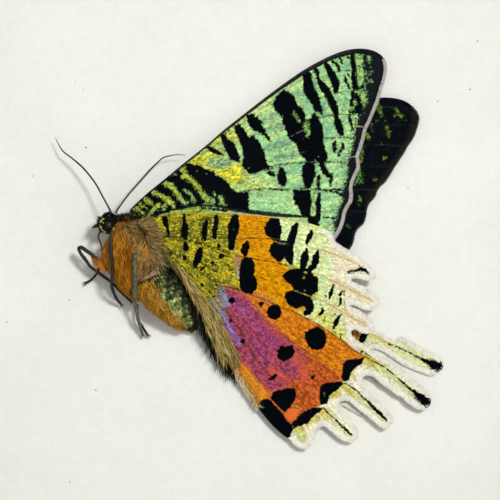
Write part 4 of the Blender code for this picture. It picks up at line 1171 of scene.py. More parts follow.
HINDWING_LEFT_ZONES: Sequence[Paint] = (
    Paint("zone_amber", tone(218, 152, 4), (patch(
        -1.8, 5.6, 2.2, 5.4, 4.5, 5.2, 4.5, 1.8, 5, 0.9, 5, -1.5, 5.8, -2.6, 6.2, -3.8, 6.4, -5.2, 7.2, -6.8,
        8.4, -8.4, 9.4, -10.9, 7, -10, 4.8, -9, 2, -7.9, -0.8, -6.8, -0.6, -5, -1, -3, -1.6, -1.4, -2, 0.3, -1.9, 2.5,
    ),), 0.25, 0.7, 1, tone(194, 118, 2)),
    Paint("zone_mint", tone(226, 234, 168), (patch(
        3.9, 5.1, 8, 4.3, 10.5, 3.6, 12, 2.4, 12.6, 0.6, 12.8, -4, 14, -6, 14.2, -9, 14, -12, 14.8, -13.9,
        12.5, -12.6, 10.5, -11.5, 8.9, -10.7, 7.8, -9.9, 8.4, -8.6, 10.2, -7, 10.2, -4, 8.8, -3.3, 7.2, -2.5,
        5.6, -2.2, 4.5, -1.4, 4.5, 0.9, 3.9, 1.4,
    ),), 0.15, 0.5, 1, tone(200, 216, 150)),
    Paint("zone_sea", tone(142, 204, 152), (
        line(0.3, 7.3, 0.6, 7.1, -1.6), line(0.3, 9.7, -6.9, 10, -8.3), line(0.3, 10.8, -4.2, 11.2, -6.2),
        line(0.25, 5.2, 3.6, 5.3, 2), line(0.2, 8.1, -6.3, 8.3, -5.9), line(0.25, 11.2, -1, 11.6, -2.6),
    ), 0.6, 0.9, 0.5, tone(186, 214, 160)),
    Paint("zone_lime", tone(212, 216, 118), (
        line(0.9, 10.6, -9.8, 12.2, -11.4, 13.6, -12.8), line(0.5, 7.2, -2.3, 8.2, -3.6),
        line(0.35, 5.2, -1.4, 6, -2.3), line(0.4, 7.6, -9.3, 8.8, -10.4), dot(8, -3.3, 0.4),
    ), 0.6, 0.9, 0.85, tone(198, 188, 60)),
    Paint("zone_cream", tone(232, 228, 200), (patch(
        11.5, 3.2, 12.1, 0.4, 12.3, -2, 12.2, -4.4, 13.4, -5.6, 14.2, -8, 14, -11, 15.2, -15.8, 30, -20, 30, -26,
        20, -30, 5, -32, 6.4, -26.4, 9.6, -24.4, 11, -22, 15, -18.6, 17.2, -16.2, 16.4, -14.6, 20, -12, 22, -4, 14, 4,
    ),), 0.7, 0.9),
    Paint("zone_peach", tone(220, 192, 148), (
        line(0.45, 11.5, -0.3, 14, -1.2, 15.4, -1.8), line(0.5, 12.6, -4.7, 15, -5.9, 17.6, -7.3),
        line(0.5, 12.4, -8.5, 15.4, -10.3, 17.2, -11.2), line(0.3, 13.2, -2.8, 16.2, -3),
    ), 0.6, 0.7, 0.75),
    Paint("zone_tail_yellow", tone(214, 196, 70), (
        line(0.55, 17.2, -16.5, 18.6, -17.2, 19.4, -17.9), line(0.6, 14.2, -20.6, 15.2, -21.4, 16, -22.3),
        line(0.7, 11, -24.3, 11.8, -25.1), line(0.7, 7.2, -26.6, 7.8, -28), line(0.3, 15, -18.4, 15.6, -19),
        line(0.7, 11.8, -21.8, 13.2, -21.6), line(0.6, 8.6, -26, 10, -25.2),
    ), 0.5, 0.6, 0.9, tone(186, 172, 60)),
    Paint("zone_tail_mint", tone(202, 208, 142), (
        line(0.5, 19.4, -17.6, 22, -19.6, 24.6, -21.8), line(0.55, 16, -22, 18.4, -24, 20.4, -25.8),
        line(0.45, 12, -25.2, 14, -27, 15.3, -28), line(0.5, 7.4, -27.8, 8.2, -29.2),
    ), 0.4, 0.5, 0.85),
    Paint("zone_under", tone(198, 100, 40), (patch(
        -4.6, -5.1, -3, -5.6, 0, -6.55, 4, -8.2, 8, -9.95, 12, -12.25, 17.2, -16.05, 14, -19.8, 10.4, -23.4,
        6.2, -26.2, 5, -28, 2.4, -25.6, 0.4, -23.4, -1.9, -19.6, -3.8, -16.4, -5.3, -13, -6, -11.4, -6.2, -9.4,
        -5.6, -7.4,
    ),), 0.08, 0.15),
    Paint("zone_orange", tone(220, 134, 26), (patch(
        0, -6.6, 4, -8.3, 8, -10, 12, -12.3, 16, -15.3, 17.2, -16.1, 14.2, -16.9, 13.8, -19.6, 11, -17.2, 7, -14.2,
        3, -11.3, 0, -8.6,
    ),), 0.25, 0.8, 1, tone(186, 96, 18)),
    Paint("zone_ember", tone(204, 98, 40), (patch(
        4.6, -12.9, 7, -14.4, 9, -15.6, 11, -17.2, 13.9, -19.6, 12.5, -20.2, 10.7, -20.6, 10.4, -23.4, 8.4, -24.2,
        6.2, -26.2, 5.1, -24.7, 6.6, -22.9, 6.4, -20.6, 4.6, -20.9, 5.4, -18.6, 7.4, -16.9,
    ), line(0.5, 5.3, -14.2, 8.6, -16)), 0.35, 0.9, 1, tone(158, 68, 30)),
    Paint("zone_magenta", tone(176, 76, 98), (patch(
        -4.4, -5.3, -2.5, -6, -0.6, -6.8, 0.2, -8.4, 2.4, -10.2, 5, -12.8, 7.4, -14.9, 8.6, -16.4, 7.6, -18.6,
        5.5, -20.7, 3, -21.4, 1, -19.4, -0.8, -17.4, -2.9, -15.2, -4.2, -12.6, -4.4, -9.6, -4.5, -8, -4.9, -6,
    ),), 0.4, 0.9, 1, tone(124, 50, 74)),
    Paint(
        "zone_pink", tone(172, 74, 128),
        (line(0.9, -2.2, -7.6, -0.4, -9.4, 1.6, -11.6, 3.4, -13.8), line(0.5, 0.4, -13.4, 2.4, -16.2)), 1.1, 1.2,
        0.75, tone(130, 54, 100),
    ),
    Paint("zone_coral", tone(200, 86, 64), (
        line(0.6, 6.6, -15.6, 8, -17.6, 8.2, -19.4), line(0.5, 3.2, -18, 6, -19.8), line(0.3, 2, -10.4, 4.6, -12.7),
    ), 0.6, 0.8, 0.85),
    Paint("zone_gold_strip", tone(212, 134, 34), (patch(
        -1.3, -17.3, -0.2, -17.9, 1.2, -19.9, 3, -21.9, 2.3, -22.8, 1.3, -23.6, 0.2, -23.2, -1.2, -21, -2.2, -19.2,
        -1.9, -18,
    ),), 0.35, 0.8),
    Paint(
        "zone_violet", tone(150, 122, 206),
        (line(0.34, -3.4, -11, -2.6, -12.5, -1.7, -13.9), line(0.1, -1.4, -8.6, -0.9, -9.4)), 0.3, 0.5, 0.9,
        tone(122, 98, 172),
    ),
    Paint(
        "zone_membrane", tone(146, 164, 128),
        (patch(-6.3, -7.4, -4.9, -6.3, -4.1, -6.8, -3.9, -8.2, -3.5, -9.6, -3.6, -10.8, -4.4, -11, -5.2, -10),), 0.35,
        0.7, 0.75, tone(104, 118, 108),
    ),
    Paint(
        "membrane_blue", tone(116, 132, 192),
        (line(0.36, -4.5, -6, -3.7, -6.9, -3.4, -8.2), line(0.24, -4.1, -9.2, -3.5, -10.6)), 0.3, 0.5, 0.85,
        tone(150, 140, 186),
    ),
    Paint("membrane_lines", tone(52, 60, 58), (
        line(0.07, -5.8, -6.9, -4.6, -8.1, -3.4, -9.9), line(0.06, -5.3, -6.3, -4.2, -7.4, -3.2, -8.9),
        line(0.07, -5.6, -8.3, -4.4, -9.7, -3.5, -11.2), line(0.06, -5.3, -9.3, -4.2, -10.9),
    ), 0.1, 0.4, 0.8),
    Paint(
        "zone_blue", tone(98, 148, 164),
        (line(0.3, -4.7, -5.2, -4, -6.6, -3.7, -8), line(0.25, -2.4, -0.4, -1.8, -1.4, -1.9, -4)), 0.3, 0.6, 0.75,
        tone(150, 172, 150),
    ),
    Paint("zone_pink_brown", tone(176, 108, 84), (
        line(0.4, -2, -0.9, -1.5, -2.6), line(0.25, -4.4, -5, -2.4, -5.5), line(0.2, 0.8, -6.6, 3.4, -7.6),
    ), 0.4, 0.6, 0.8),
    Paint("zone_base_gold", tone(222, 200, 50), (
        line(0.5, -8.4, 5, -8.2, 3), line(0.55, -6, -0.6, -4, -2.6), line(0.5, -4, 0.6, -2.2, -0.2),
        line(0.5, -11.2, 4.2, -11, 2.6), line(0.45, -3.7, 5, -3.9, 3.4), line(0.4, -5, -3.8, -3.4, -4.2),
        line(0.35, -8, -4, -6.4, -5.6), line(0.3, -12.6, 1.2, -10.4, 0.8), line(0.3, -4.4, -2.6, -2.6, -4.8),
    ), 0.5, 1.6, 0.95, tone(168, 148, 26), 1.6),
    Paint("zone_base_dark", tone(58, 72, 28), (
        line(0.3, -13.8, 2.2, -10.4, 2.6, -8.8, 2), line(0.3, -12.6, 0.2, -9.2, -1.4),
        line(0.35, -8.6, 3.9, -8.7, 1.9), line(0.3, -9.2, -2.8, -6.4, -4), line(0.3, -4, 3.4, -3.7, 0.6),
        line(0.25, -6.2, 0.4, -5.6, -1), line(0.25, -4.2, -1.8, -3.4, -3), line(0.25, -5.9, 4.2, -6, 2),
        line(0.25, -11.4, 4.4, -11.3, 2.8), line(0.25, -6.4, -5.4, -4.6, -4.4), line(0.2, -3.4, 2.6, -3.2, 0.4),
        line(0.3, -7.4, 4.6, -7.2, 1.2), line(0.26, -10.2, 4.6, -10, 1.4), line(0.26, -4.9, 5, -4.9, 1.2),
        line(0.3, -8, -0.6, -5.2, -2.6), line(0.28, -10.4, -0.2, -8, -2.8), line(0.26, -5.2, -5.9, -3, -4.2),
    ), 0.3, 1.8, 0.9, tone(104, 118, 44), 2.4),
)

HINDWING_LEFT_BARS: Sequence[Shape] = (
    brush(1.6, -23.6, 0.6, 2.2, -25.2, 0.9, 3.4, -26.8, 0.8, 5, -27.9, 0.6),
    brush(2.2, -23.2, 0.75, 3.3, -24.4, 0.95, 4.4, -25.9, 0.95, 5.4, -27.2, 0.8, 5.8, -27.9, 0.4),
    brush(-12.7, 4.7, 0.42, -12.5, 3.8, 0.46), line(0.26, -12.2, 3.4, -12.1, 2.1),
    brush(
        -10.1, 5.9, 0.2, -9.8, 5, 0.25, -9.8, 4.3, 0.25, -9.7, 3.5, 0.5, -9.7, 2.7, 0.6, -9.8, 2.1, 0.5,
        -9.4, 1.7, 0.3,
    ),
    brush(-9.6, 0.8, 0.4, -9.5, 0.2, 0.45), dot(-9.7, -1.1, 0.35), dot(-11.8, -0.5, 0.4),
    brush(-6.5, 4.3, 0.24, -6.7, 3.5, 0.42, -6.8, 2.6, 0.46, -6.8, 1.9, 0.42, -6.7, 1.5, 0.25),
    brush(-5.1, 5.1, 0.25, -5.05, 4.4, 0.4, -5.1, 3.6, 0.42, -5.3, 2.8, 0.42, -5.3, 2.2, 0.38, -5.2, 1.7, 0.25),
    brush(
        -2.15, 5.1, 0.45, -2.3, 4.4, 0.65, -2.4, 3.6, 0.9, -2.5, 2.8, 0.85, -2.7, 2, 0.65, -2.7, 1.2, 0.5,
        -2.8, 0.4, 0.5,
    ),
    brush(-7.2, 0.3, 0.25, -7.5, -0.3, 0.5, -7.7, -1.1, 0.62, -8, -1.9, 0.5, -8.1, -2.4, 0.3),
    brush(-6.5, -2.3, 0.15, -7.3, -2.9, 0.2), dot(-4.6, 0.6, 0.33), dot(-4.3, -0.9, 0.38), dot(-5.6, -1.9, 0.28),
    dot(-5.1, -3.2, 0.2), dot(-5, -5.2, 0.2), dot(-7.1, -5.2, 0.3), dot(-5.4, -6.9, 0.2), dot(-2.6, -3.3, 0.15),
    brush(-0.5, 1.1, 0.3, -0.65, 0.5, 0.6, -0.8, -0.1, 0.6, -0.7, -0.7, 0.3),
    brush(
        -0.5, -1.5, 0.5, -0.4, -2.2, 1.1, -0.45, -3, 1.15, -0.6, -3.8, 1, -0.4, -4.5, 1.3, -0.2, -5.2, 1.35,
        0, -5.9, 0.7, 0.2, -6.3, 0.3,
    ),
    patch(
        3, 4.8, 3.6, 4.9, 4.4, 4.7, 4.6, 4, 4.8, 3.4, 4.8, 2.6, 4.6, 2, 4.5, 1.5, 3.2, 1.7, 2.7, 2, 2.4, 2.4, 2.1, 3,
        2.15, 3.4, 2.5, 4.2,
    ),
    line(0.2, 3.5, 1.5, 6.5, 1),
    patch(
        3.5, 1.3, 3.2, 0.9, 2.95, 0.5, 2.85, 0, 3, -0.5, 3.3, -1, 3.8, -1.5, 4.3, -1.85, 4.8, -1.6, 5.2, -1.2,
        5.6, -1.8, 6, -2.3, 6.3, -2.3, 6.6, -1, 6.5, 0, 6.5, 0.8,
    ),
    brush(7, 3.9, 0.3, 6.7, 3.3, 0.5, 6.5, 2.6, 0.6, 6.3, 1.9, 0.65, 6.1, 1.2, 0.6),
    brush(9.2, 2.9, 0.2, 9.1, 2.4, 0.35, 8.9, 1.9, 0.42, 8.65, 1.4, 0.3, 8.5, 1, 0.2),
    brush(8.5, 0.2, 0.2, 8.4, -0.3, 0.4, 8.2, -1, 0.65, 8.1, -1.7, 0.6, 8, -2.4, 0.5),
    brush(10.2, 0, 0.15, 10.1, -0.5, 0.35, 9.9, -1.1, 0.55, 9.8, -1.8, 0.55, 9.5, -2.4, 0.5, 9, -2.8, 0.45),
    patch(
        6.2, -2.8, 5.5, -3.2, 5, -3.6, 4.8, -4, 5.2, -4.5, 5.7, -5, 6.1, -5.2, 6.5, -5.95, 9.2, -7, 9.5, -6.6,
        10.1, -6.3, 10.25, -5.8, 10.15, -5.2, 10.3, -4.5, 10.1, -4, 9.5, -3.9, 9.3, -3.4, 9.3, -2.9, 8, -2.6,
        7.3, -2.8,
    ),
    patch(
        6.4, -6, 5.7, -6.2, 5.3, -6.5, 5.1, -7, 5.4, -7.6, 5.7, -8.2, 6.1, -8.4, 6.6, -8.6, 7, -8.85, 7.5, -8.6,
        8.1, -8.4, 8.3, -8.9, 8.1, -9.2, 8, -9.6, 8.2, -9.95, 8.8, -9.8, 9.3, -9.4, 9.6, -8.9, 9.6, -8.3, 9.4, -7.7,
        9.2, -7.1,
    ),
    brush(12.5, -5.3, 0.15, 12.3, -6, 0.25, 12.1, -6.6, 0.35, 11.9, -7.2, 0.15), dot(11.4, -6.9, 0.12),
    brush(13.8, -6.2, 0.15, 13.4, -6.8, 0.2), line(0.08, 14.15, -6.1, 14.1, -6.7),
    brush(13.6, -7.3, 0.25, 13.6, -7.9, 0.15, 13.3, -8.5, 0.1),
    brush(10.8, -8.8, 0.2, 10.9, -9.2, 0.3, 10.6, -9.5, 0.25, 10.3, -9.9, 0.1), line(0.1, 11.3, -10, 11.1, -10.6),
    brush(13.8, -9.6, 0.1, 13.3, -10.1, 0.25, 12.95, -10.6, 0.4, 12.8, -11.2, 0.3, 12.5, -11.8, 0.15),
    dot(12.7, -9.6, 0.15), line(0.1, 13.6, -12.7, 13.6, -13.4), dot(12.8, -12.4, 0.1),
    line(0.12, 16.7, -15.4, 16.9, -15.1), dot(17.4, -15.6, 0.15), dot(18.7, -16.15, 0.15),
    brush(
        14.6, -3.25, 0.16, 15.3, -3.2, 0.18, 16.1, -3.05, 0.2, 16.6, -2.85, 0.34, 17.2, -3.05, 0.3, 17.8, -3.4, 0.14,
    ),
    dot(-2.7, -7.5, 0.5), dot(1.7, -8.1, 0.4), dot(3.65, -9.3, 1.12), dot(-2.9, -10.6, 0.2), dot(-1.1, -13.6, 0.35),
    brush(3.9, -18.8, 0.2, 3.4, -19.2, 0.3, 3.1, -19.4, 0.25), brush(9.7, -19, 0.18, 9.3, -19.3, 0.25),
    patch(
        8.2, -12.4, 9, -11.9, 10, -11.5, 10.8, -11.8, 11.3, -12.3, 11.5, -13.2, 11.4, -14.1, 11, -14.8, 10, -15.05,
        9.2, -14.9, 8.6, -14.3, 8.3, -13.4,
    ),
    patch(
        4.6, -14.4, 5.2, -14.5, 6.4, -14.3, 6.6, -14.9, 6.75, -15.3, 6.5, -16, 6, -16.4, 5.4, -16.6, 5, -16.8,
        4.6, -16.5, 4.15, -16.4, 4.1, -15.6, 4.2, -15,
    ),
    patch(
        17.3, -16, 16.6, -16.3, 15.2, -16.4, 14.5, -16.6, 14.1, -16.9, 13.9, -17.5, 13.9, -18.3, 13.7, -19,
        13.9, -19.7, 14.6, -19.8, 15, -19.4, 15.1, -18.8, 15.3, -18.2, 15.7, -17.9, 16.2, -17.4, 16.9, -17.1,
        17, -16.6,
    ),
    patch(
        13.8, -19.7, 13.2, -19.8, 12.2, -19.9, 11.3, -20.1, 10.7, -20.2, 10.5, -20.8, 10.4, -21.5, 10.5, -22.5,
        10.6, -23.3, 11, -23.3, 11.6, -23.1, 11.8, -22.5, 12, -22, 12.6, -21.4, 13.1, -21.1, 13.5, -20.6, 14, -20.2,
    ),
    patch(
        11, -23.8, 10.2, -23.65, 9.4, -23.7, 8.7, -24, 8, -24.4, 7.4, -24.9, 7, -25.4, 6.6, -25.8, 6.2, -26.1,
        6.6, -26.9, 7.2, -26.6, 8, -26.3, 8.8, -26.1, 9, -25.7, 9.4, -25.2, 10.2, -24.6, 10.7, -24.2,
    ),
    patch(
        3.6, -21.3, 4.2, -21.1, 5, -21, 5.8, -20.7, 6.6, -20.7, 6.9, -21.1, 7, -21.8, 6.8, -22.5, 6.4, -23.2,
        5.8, -23.9, 5.2, -24.5, 3.1, -22.4, 3.2, -21.9,
    ),
    patch(
        2, -22.6, 2.6, -22.35, 3.1, -22.5, 3.8, -23.4, 4.6, -24.3, 5.1, -24.8, 5.3, -25.4, 5.9, -26, 6.4, -26.3,
        6.6, -26.8, 6.3, -27.4, 6.1, -28, 5.8, -28.3, 5.2, -28, 4.4, -27, 3.6, -26.3, 3, -25.6, 2.5, -24.8, 2, -24.1,
        1.65, -23.6, 1.6, -23.1,
    ),
)

TAIL_VEINS: Sequence[Shape] = (
    brush(
        17.2, -16, 0.08, 18.3, -16.6, 0.08, 19.5, -17.2, 0.08, 20.5, -17.8, 0.1, 21.5, -18.6, 0.11, 22.5, -19.5, 0.13,
        23.3, -20.2, 0.15, 24.2, -21, 0.2, 24.8, -21.4, 0.26, 25.5, -22, 0.5, 26.2, -22.6, 0.72, 26.6, -23, 0.6,
    ),
    brush(
        14.2, -20, 0.08, 15, -20.5, 0.1, 16, -21.1, 0.13, 17, -22.2, 0.14, 17.7, -22.8, 0.18, 18.5, -23.6, 0.24,
        19.3, -24.4, 0.27, 20.2, -25.2, 0.22, 20.8, -26, 0.12,
    ),
    brush(
        11, -23.7, 0.09, 11.8, -24.6, 0.1, 12.8, -25.4, 0.13, 13.6, -26.3, 0.18, 14.4, -27, 0.2, 15, -27.6, 0.18,
        15.4, -27.9, 0.1,
    ),
)

TAIL_TIPS_LEFT: Sequence[Stroke] = (
    brush(24.8, -21.5, 0.28, 25.4, -22.1, 0.56, 26.1, -22.6, 0.8, 26.5, -22.9, 0.84),
    brush(
        14.6, -3.25, 0.14, 15.3, -3.2, 0.17, 16.1, -3.05, 0.19, 16.6, -2.85, 0.32, 17.2, -3.05, 0.28,
        17.8, -3.4, 0.12,
    ),
)
TAIL_TIPS_RIGHT: Sequence[Stroke] = (
    brush(26.6, -16.85, 0.26, 27.2, -17.1, 0.56, 27.9, -17.4, 0.8, 28.4, -17.6, 0.84),
)

HINDWING_LEFT_MARKS: Sequence[Paint] = (
    Paint("pale_veins", tone(176, 158, 112), (
        line(0.09, 8.5, 0.7, 10, 0.1, 12, -0.4, 14, -1.1, 15.3, -1.7),
        line(0.1, 9.3, -3.3, 11, -4, 13, -4.9, 15, -5.9, 18, -7.4),
        line(0.1, 9.5, -7.1, 11, -7.7, 13, -8.7, 16, -10.6, 17.4, -11.2),
    ), 0.1, 0.1, 0.9),
    Paint("base_speckle", tone(30, 34, 20), (patch(
        -14.4, 4.4, -10, 5.3, -2.6, 5.4, -2.4, 0, -1.8, -1.4, -2, -6, -4.4, -6, -6.4, -6.8, -9.6, -4.6, -13.2, 0,
    ),), 0.1, 0.3, 0.8, None, 4.6, 0.5),
    Paint("veins", tone(58, 38, 14), (
        line(
            0.06, -14, 1.4, -11, 1.55, -9, 1.1, -7, 0.8, -5, 0.1, -3, -0.4, -1.5, -0.9, 0.2, -1.2, 2, -1.6, 4, -1.95,
            6, -2.4,
        ),
        line(0.05, -2, 1.7, 0, 1.85, 3.2, 1.6), line(0.05, -1.3, 3.4, 1.9, 3.1),
        line(0.05, 1, -3.9, 3.5, -4.8, 5, -5.4), line(0.05, 0.8, 4.3, 2.4, 4.2),
        line(0.05, -2, -7.2, 0, -8.6, 1.5, -10, 3, -11.3, 5, -12.8, 7, -14.2, 9, -15.6, 11, -17.2, 13.5, -19.4),
        line(0.05, -2.5, -8.5, -0.5, -11, 5, -18, 7.5, -21, 10.5, -23.3),
        line(0.07, -3.5, -9, -1, -13, 1, -16.5, 3, -19), line(0.09, -14.2, 2.1, -10.6, 1.9, -7, 1, -3, -0.3),
        line(0.07, -14, 2.6, -9, 3, -4, 2.2), line(0.08, -13.8, 1.2, -9.8, -1.2, -6, -3.8, -3.4, -5.4),
        line(0.06, -13.6, 0.6, -10, -2.6, -7, -5.4), line(0.06, -13.9, 1.6, -9, 0.4, -4.4, -1.6, -2, -2.8),
        line(0.05, -14, 3.2, -9.6, 4.5, -3, 4.6), line(0.05, -6.2, -7, -4, -10.8, -2, -14),
        line(0.05, -5.7, -6.5, -3.4, -10.5, -0.4, -14.6), line(0.05, -5.2, -6.2, -2.9, -10.2, 2, -16),
        line(0.04, -5.9, -7.5, -4.5, -10.2), line(0.04, -4.8, -6.1, -2.4, -9.8, 0, -12.6),
        line(0.04, -4.6, -5.6, -1.6, -8.4, 0.6, -10.8), line(0.04, 1, -5.2, 3.6, -6.4, 5.4, -7.2),
        line(0.04, -0.6, 2.6, 2, 2.4),
    ), 0.08, 0.12, 0.9),
    Paint("base_veins", tone(34, 38, 16), (
        line(0.09, -13.6, 2.1, -11, 1.75, -8.6, 1.3, -6.2, 0.5, -4, -0.2, -3, -0.6),
        line(0.07, -13.4, 0.9, -10.4, -1.2, -8, -2.8, -6, -4.2, -4.5, -5.1),
        line(0.06, -13, 3.4, -9.6, 4.2, -6, 4.5, -3.2, 4.5), line(0.06, -12.8, 1.4, -8.6, -0.4, -4.6, -2.6),
        line(0.07, -1.6, 1.6, 1, 1.85, 3.6, 1.6), line(0.07, -2, -1, 1, -1.4, 3.4, -1.8, 5.6, -2.4),
    ), 0.08, 0.15, 0.85),
    Paint("main_vein", tone(70, 42, 20), (line(
        0.09, -4.5, -5.1, -3, -5.6, -1, -6.1, 0, -6.6, 1.5, -7.2, 3, -7.8, 4.5, -8.4, 6, -9, 8, -10, 10, -11,
        12, -12.3, 14, -13.8, 16, -15.3, 17.3, -16,
    ),), 0.09, 0.15, 0.8),
    Paint("bars", INK, (*HINDWING_LEFT_BARS, *TAIL_VEINS), 0.06, 0.26),
    Paint("lime_islands", tone(176, 190, 76), (
        dot(8.3, -3.4, 0.2), dot(8.1, -4.1, 0.16), line(0.05, 6.9, -23.4, 7.3, -23.7), dot(6.6, -23.5, 0.06),
    ), 0.1, 0.3, 0.8),
    # Painted sheen: grey-pink highlight lines and dots over the black bars.
    Paint("bar_sheen", tone(128, 108, 112), (
        line(0.09, 4, 1.05, 5.3, 0.85), dot(8.2, -6.1, 0.16), line(0.04, 6.6, -6.1, 9, -6.9), dot(-2.4, 3.1, 0.07),
        dot(10.3, -14.2, 0.06), line(0.04, 11.2, -21.4, 11.2, -22.2),
    ), 0.08, 0.2, 0.7),
    Paint("ember_gap", tone(224, 110, 48), (
        patch(5.15, -24.8, 6.1, -23.8, 7.6, -24.1, 7.1, -24.9, 6.15, -25.8), line(0.1, 10.2, -20.4, 10.1, -22.8),
    ), 0.08, 0.25, 0.9),
    Paint("margin_line", tone(206, 172, 124), (
        line(0.07, 11.6, 1.9, 11.6, 1, 12.8, -0.1, 14.6, -1, 16.2, -2, 17.5, -3.2, 17.8, -3.6),
        line(0.07, 14.3, -3.7, 14.3, -5.1, 16, -5.9, 17.5, -6.6, 18.3, -7.5, 17.8, -8, 16.4, -7.7),
        line(0.07, 14.2, -7.6, 14.3, -9.1, 16, -9.9, 17.3, -11, 17.3, -11.5, 16.4, -11.3),
        line(0.07, 14.3, -11.6, 14.3, -13, 15.4, -14.2, 16.6, -14.9),
    ), 0.09, 0.2, 0.6),
    Paint("top_edge", tone(226, 186, 132), (along(0.1, HINDWING_LEFT_TOP[6:]),), 0.12, 0.2, 0.8),
    Paint("margin_fringe", tone(232, 229, 219), (along(0.72, HINDWING_LEFT_MARGIN),), 0.1, 0.16),
    Paint("tail_tip", INK, TAIL_TIPS_LEFT, 0.06, 0.5, 1, None, 1.2),
    Paint("inner_shade", tone(84, 74, 40), (along(0.9, HINDWING_LEFT_INNER[5:]),), 0.7, 0.7, 0.75),
)

# The right wings' drawing

FOREWING_RIGHT_OUTLINE: Sequence[Pair] = pairs(
    -13.9, 2, -14.6, 3.2, -13.2, 4.6, -10, 7.5, 0, 14, 10, 19.2, 15.5, 21.8, 18, 22.7, 19.6, 22.95, 21, 22.95,
    22.4, 22.75, 23.6, 22.3, 24.5, 21.6, 25.2, 20.7, 25.45, 19.8, 25.2, 18.6, 24.9, 17.6, 24.4, 16.6, 23.7, 15.6,
    23.1, 14.5, 22.3, 13.3, 21.4, 11.9, 21, 11.2, 20.3, 10.2, 19.6, 9.6, 19.1, 8.8, 18.8, 8, 18, 7.1, 17.6, 6.2,
    17.5, 5.4, 17.3, 4.5, 17, 3.9, 16.2, 3.2, 15.8, 2.4, 15.6, 1.4, 15.3, 0.6, 14.8, -0.1, 13.8, -0.6, 8, -1, 0, 0,
    -8, 1.2, -12.6, 1.2,
)
FOREWING_RIGHT_FRINGED = slice(12, 37)

FOREWING_RIGHT_MARKS: Sequence[Paint] = (
    Paint("veins", tone(34, 42, 52), (
        line(0.07, 14, 20.4, 19, 21.6, 23.6, 21.4), line(0.07, 15, 18, 20, 18.9, 24.6, 18.9),
        line(0.07, 15, 15.4, 19.4, 15.9, 23.4, 15.6), line(0.06, 15, 12.6, 18.8, 12.6, 21.4, 12.4),
        line(0.06, 14.8, 9.2, 17.4, 9.1, 19.2, 9), line(0.06, 14.6, 6, 16.4, 5.8, 17.6, 5.6),
    ), 0.1, 0.15, 0.9),
    Paint("bronze", tone(40, 34, 26), (
        line(0.3, 24.6, 20.6, 24.9, 19.4, 24.4, 17.6, 23.2, 15.4, 21.2, 12.4, 19.2, 9.6, 17.6, 7.2),
    ), 0.4, 0.6, 0.6),
    Paint("patches", tone(112, 146, 48), (
        brush(19.2, 22.1, 0.26, 19.5, 21.2, 0.34, 19.8, 20.3, 0.16), line(0.17, 22, 21.2, 22.3, 20.6, 22.8, 20),
        line(0.13, 22.2, 20.4, 23.1, 20.3), line(0.17, 20.5, 18.6, 20.8, 17.9, 20.9, 17.1),
        line(0.12, 20.7, 17.5, 21.3, 17.8), line(0.28, 17.4, 17.5, 17.9, 16.9), line(0.09, 18.4, 19, 18.4, 18),
        dot(17.1, 15.5, 0.12), line(0.22, 16.9, 14.8, 16.6, 13.3), dot(20.3, 13.9, 0.22), dot(18.8, 10.6, 0.2),
        line(0.13, 16.5, 8.1, 16.7, 7.3), line(0.12, 14.7, 3.9, 15, 3.5), dot(20.4, 19.4, 0.1), dot(16.4, 6.75, 0.1),
        dot(21.8, 20.3, 0.1), dot(23.4, 19.6, 0.1), dot(19.2, 19.4, 0.12), dot(22.6, 17.4, 0.08), dot(19.9, 16, 0.09),
    ), 0.07, 0.4, 0.95, tone(52, 76, 26), 0.5),
    Paint(
        "bright_patch", tone(120, 180, 74), (patch(16.3, 12.1, 16.75, 11.5, 16.85, 10.4, 15.8, 10.05, 16.1, 11),),
        0.1, 0.5, 0.9, tone(74, 118, 44), 2,
    ),
)

HINDWING_RIGHT_OUTLINE: Sequence[Pair] = pairs(
    -13.8, 0.8, -12, 1.6, -8, 3.2, 0, 3.6, 8, 2, 12.4, -0.2, 14, -1.6, 14.6, -4.5, 14.9, -8.2, 16.5, -10.2,
    17.6, -11.4, 18.3, -11.9, 19.2, -12.2, 20.2, -12.8, 21.3, -13.4, 22.1, -13.6, 22.8, -13.1, 23.6, -13.4, 25, -14.2,
    26.5, -15, 28, -15.7, 28.8, -16.4, 29.2, -17.2, 29, -18, 28.2, -18.6, 27.4, -18.9, 26, -18.5, 24.5, -17.9,
    23, -17.2, 21.5, -16.2, 20.3, -15.4, 19.3, -14.95, 18.4, -15, 18.9, -15.9, 21, -18.2, 23, -20.4, 23.2, -21.2,
    22.2, -21.3, 20, -20.4, 19.2, -20.05, 18.2, -19.6, 17.35, -19.1, 16.5, -19.4, 16.6, -20.5, 18.2, -23.2,
    18.9, -24.7, 18.4, -25.2, 17.2, -25.05, 16, -24.5, 14.9, -23.9, 14, -23.4, 13.2, -23.9, 13.2, -25.4, 13.3, -26.9,
    12.5, -27.1, 11.4, -26.5, 10.4, -26.2, 8.6, -26.6, 6.5, -26, 3, -23.5, 0, -20.5, -3.2, -16.5, -5.5, -12.5,
    -7.8, -7, -9.8, -3.2, -12.6, -1.8,
)
HINDWING_RIGHT_FRINGED = slice(10, 57)

HINDWING_RIGHT_ZONES: Sequence[Paint] = (
    Paint(
        "zone_tail", tone(212, 216, 160), (line(0.5, 20.4, -14, 22.2, -14.8, 25, -16.2, 27.6, -17.4),), 0.4, 0.5,
        0.85,
    ),
    Paint("zone_gold", tone(214, 186, 66), (line(0.55, 18.3, -12.4, 19.8, -13, 20.9, -13.8),), 0.4, 0.5),
    Paint("zone_orange", tone(196, 120, 30), (line(0.42, 15.9, -12.2, 16.2, -13.2),), 0.2, 0.4),
)

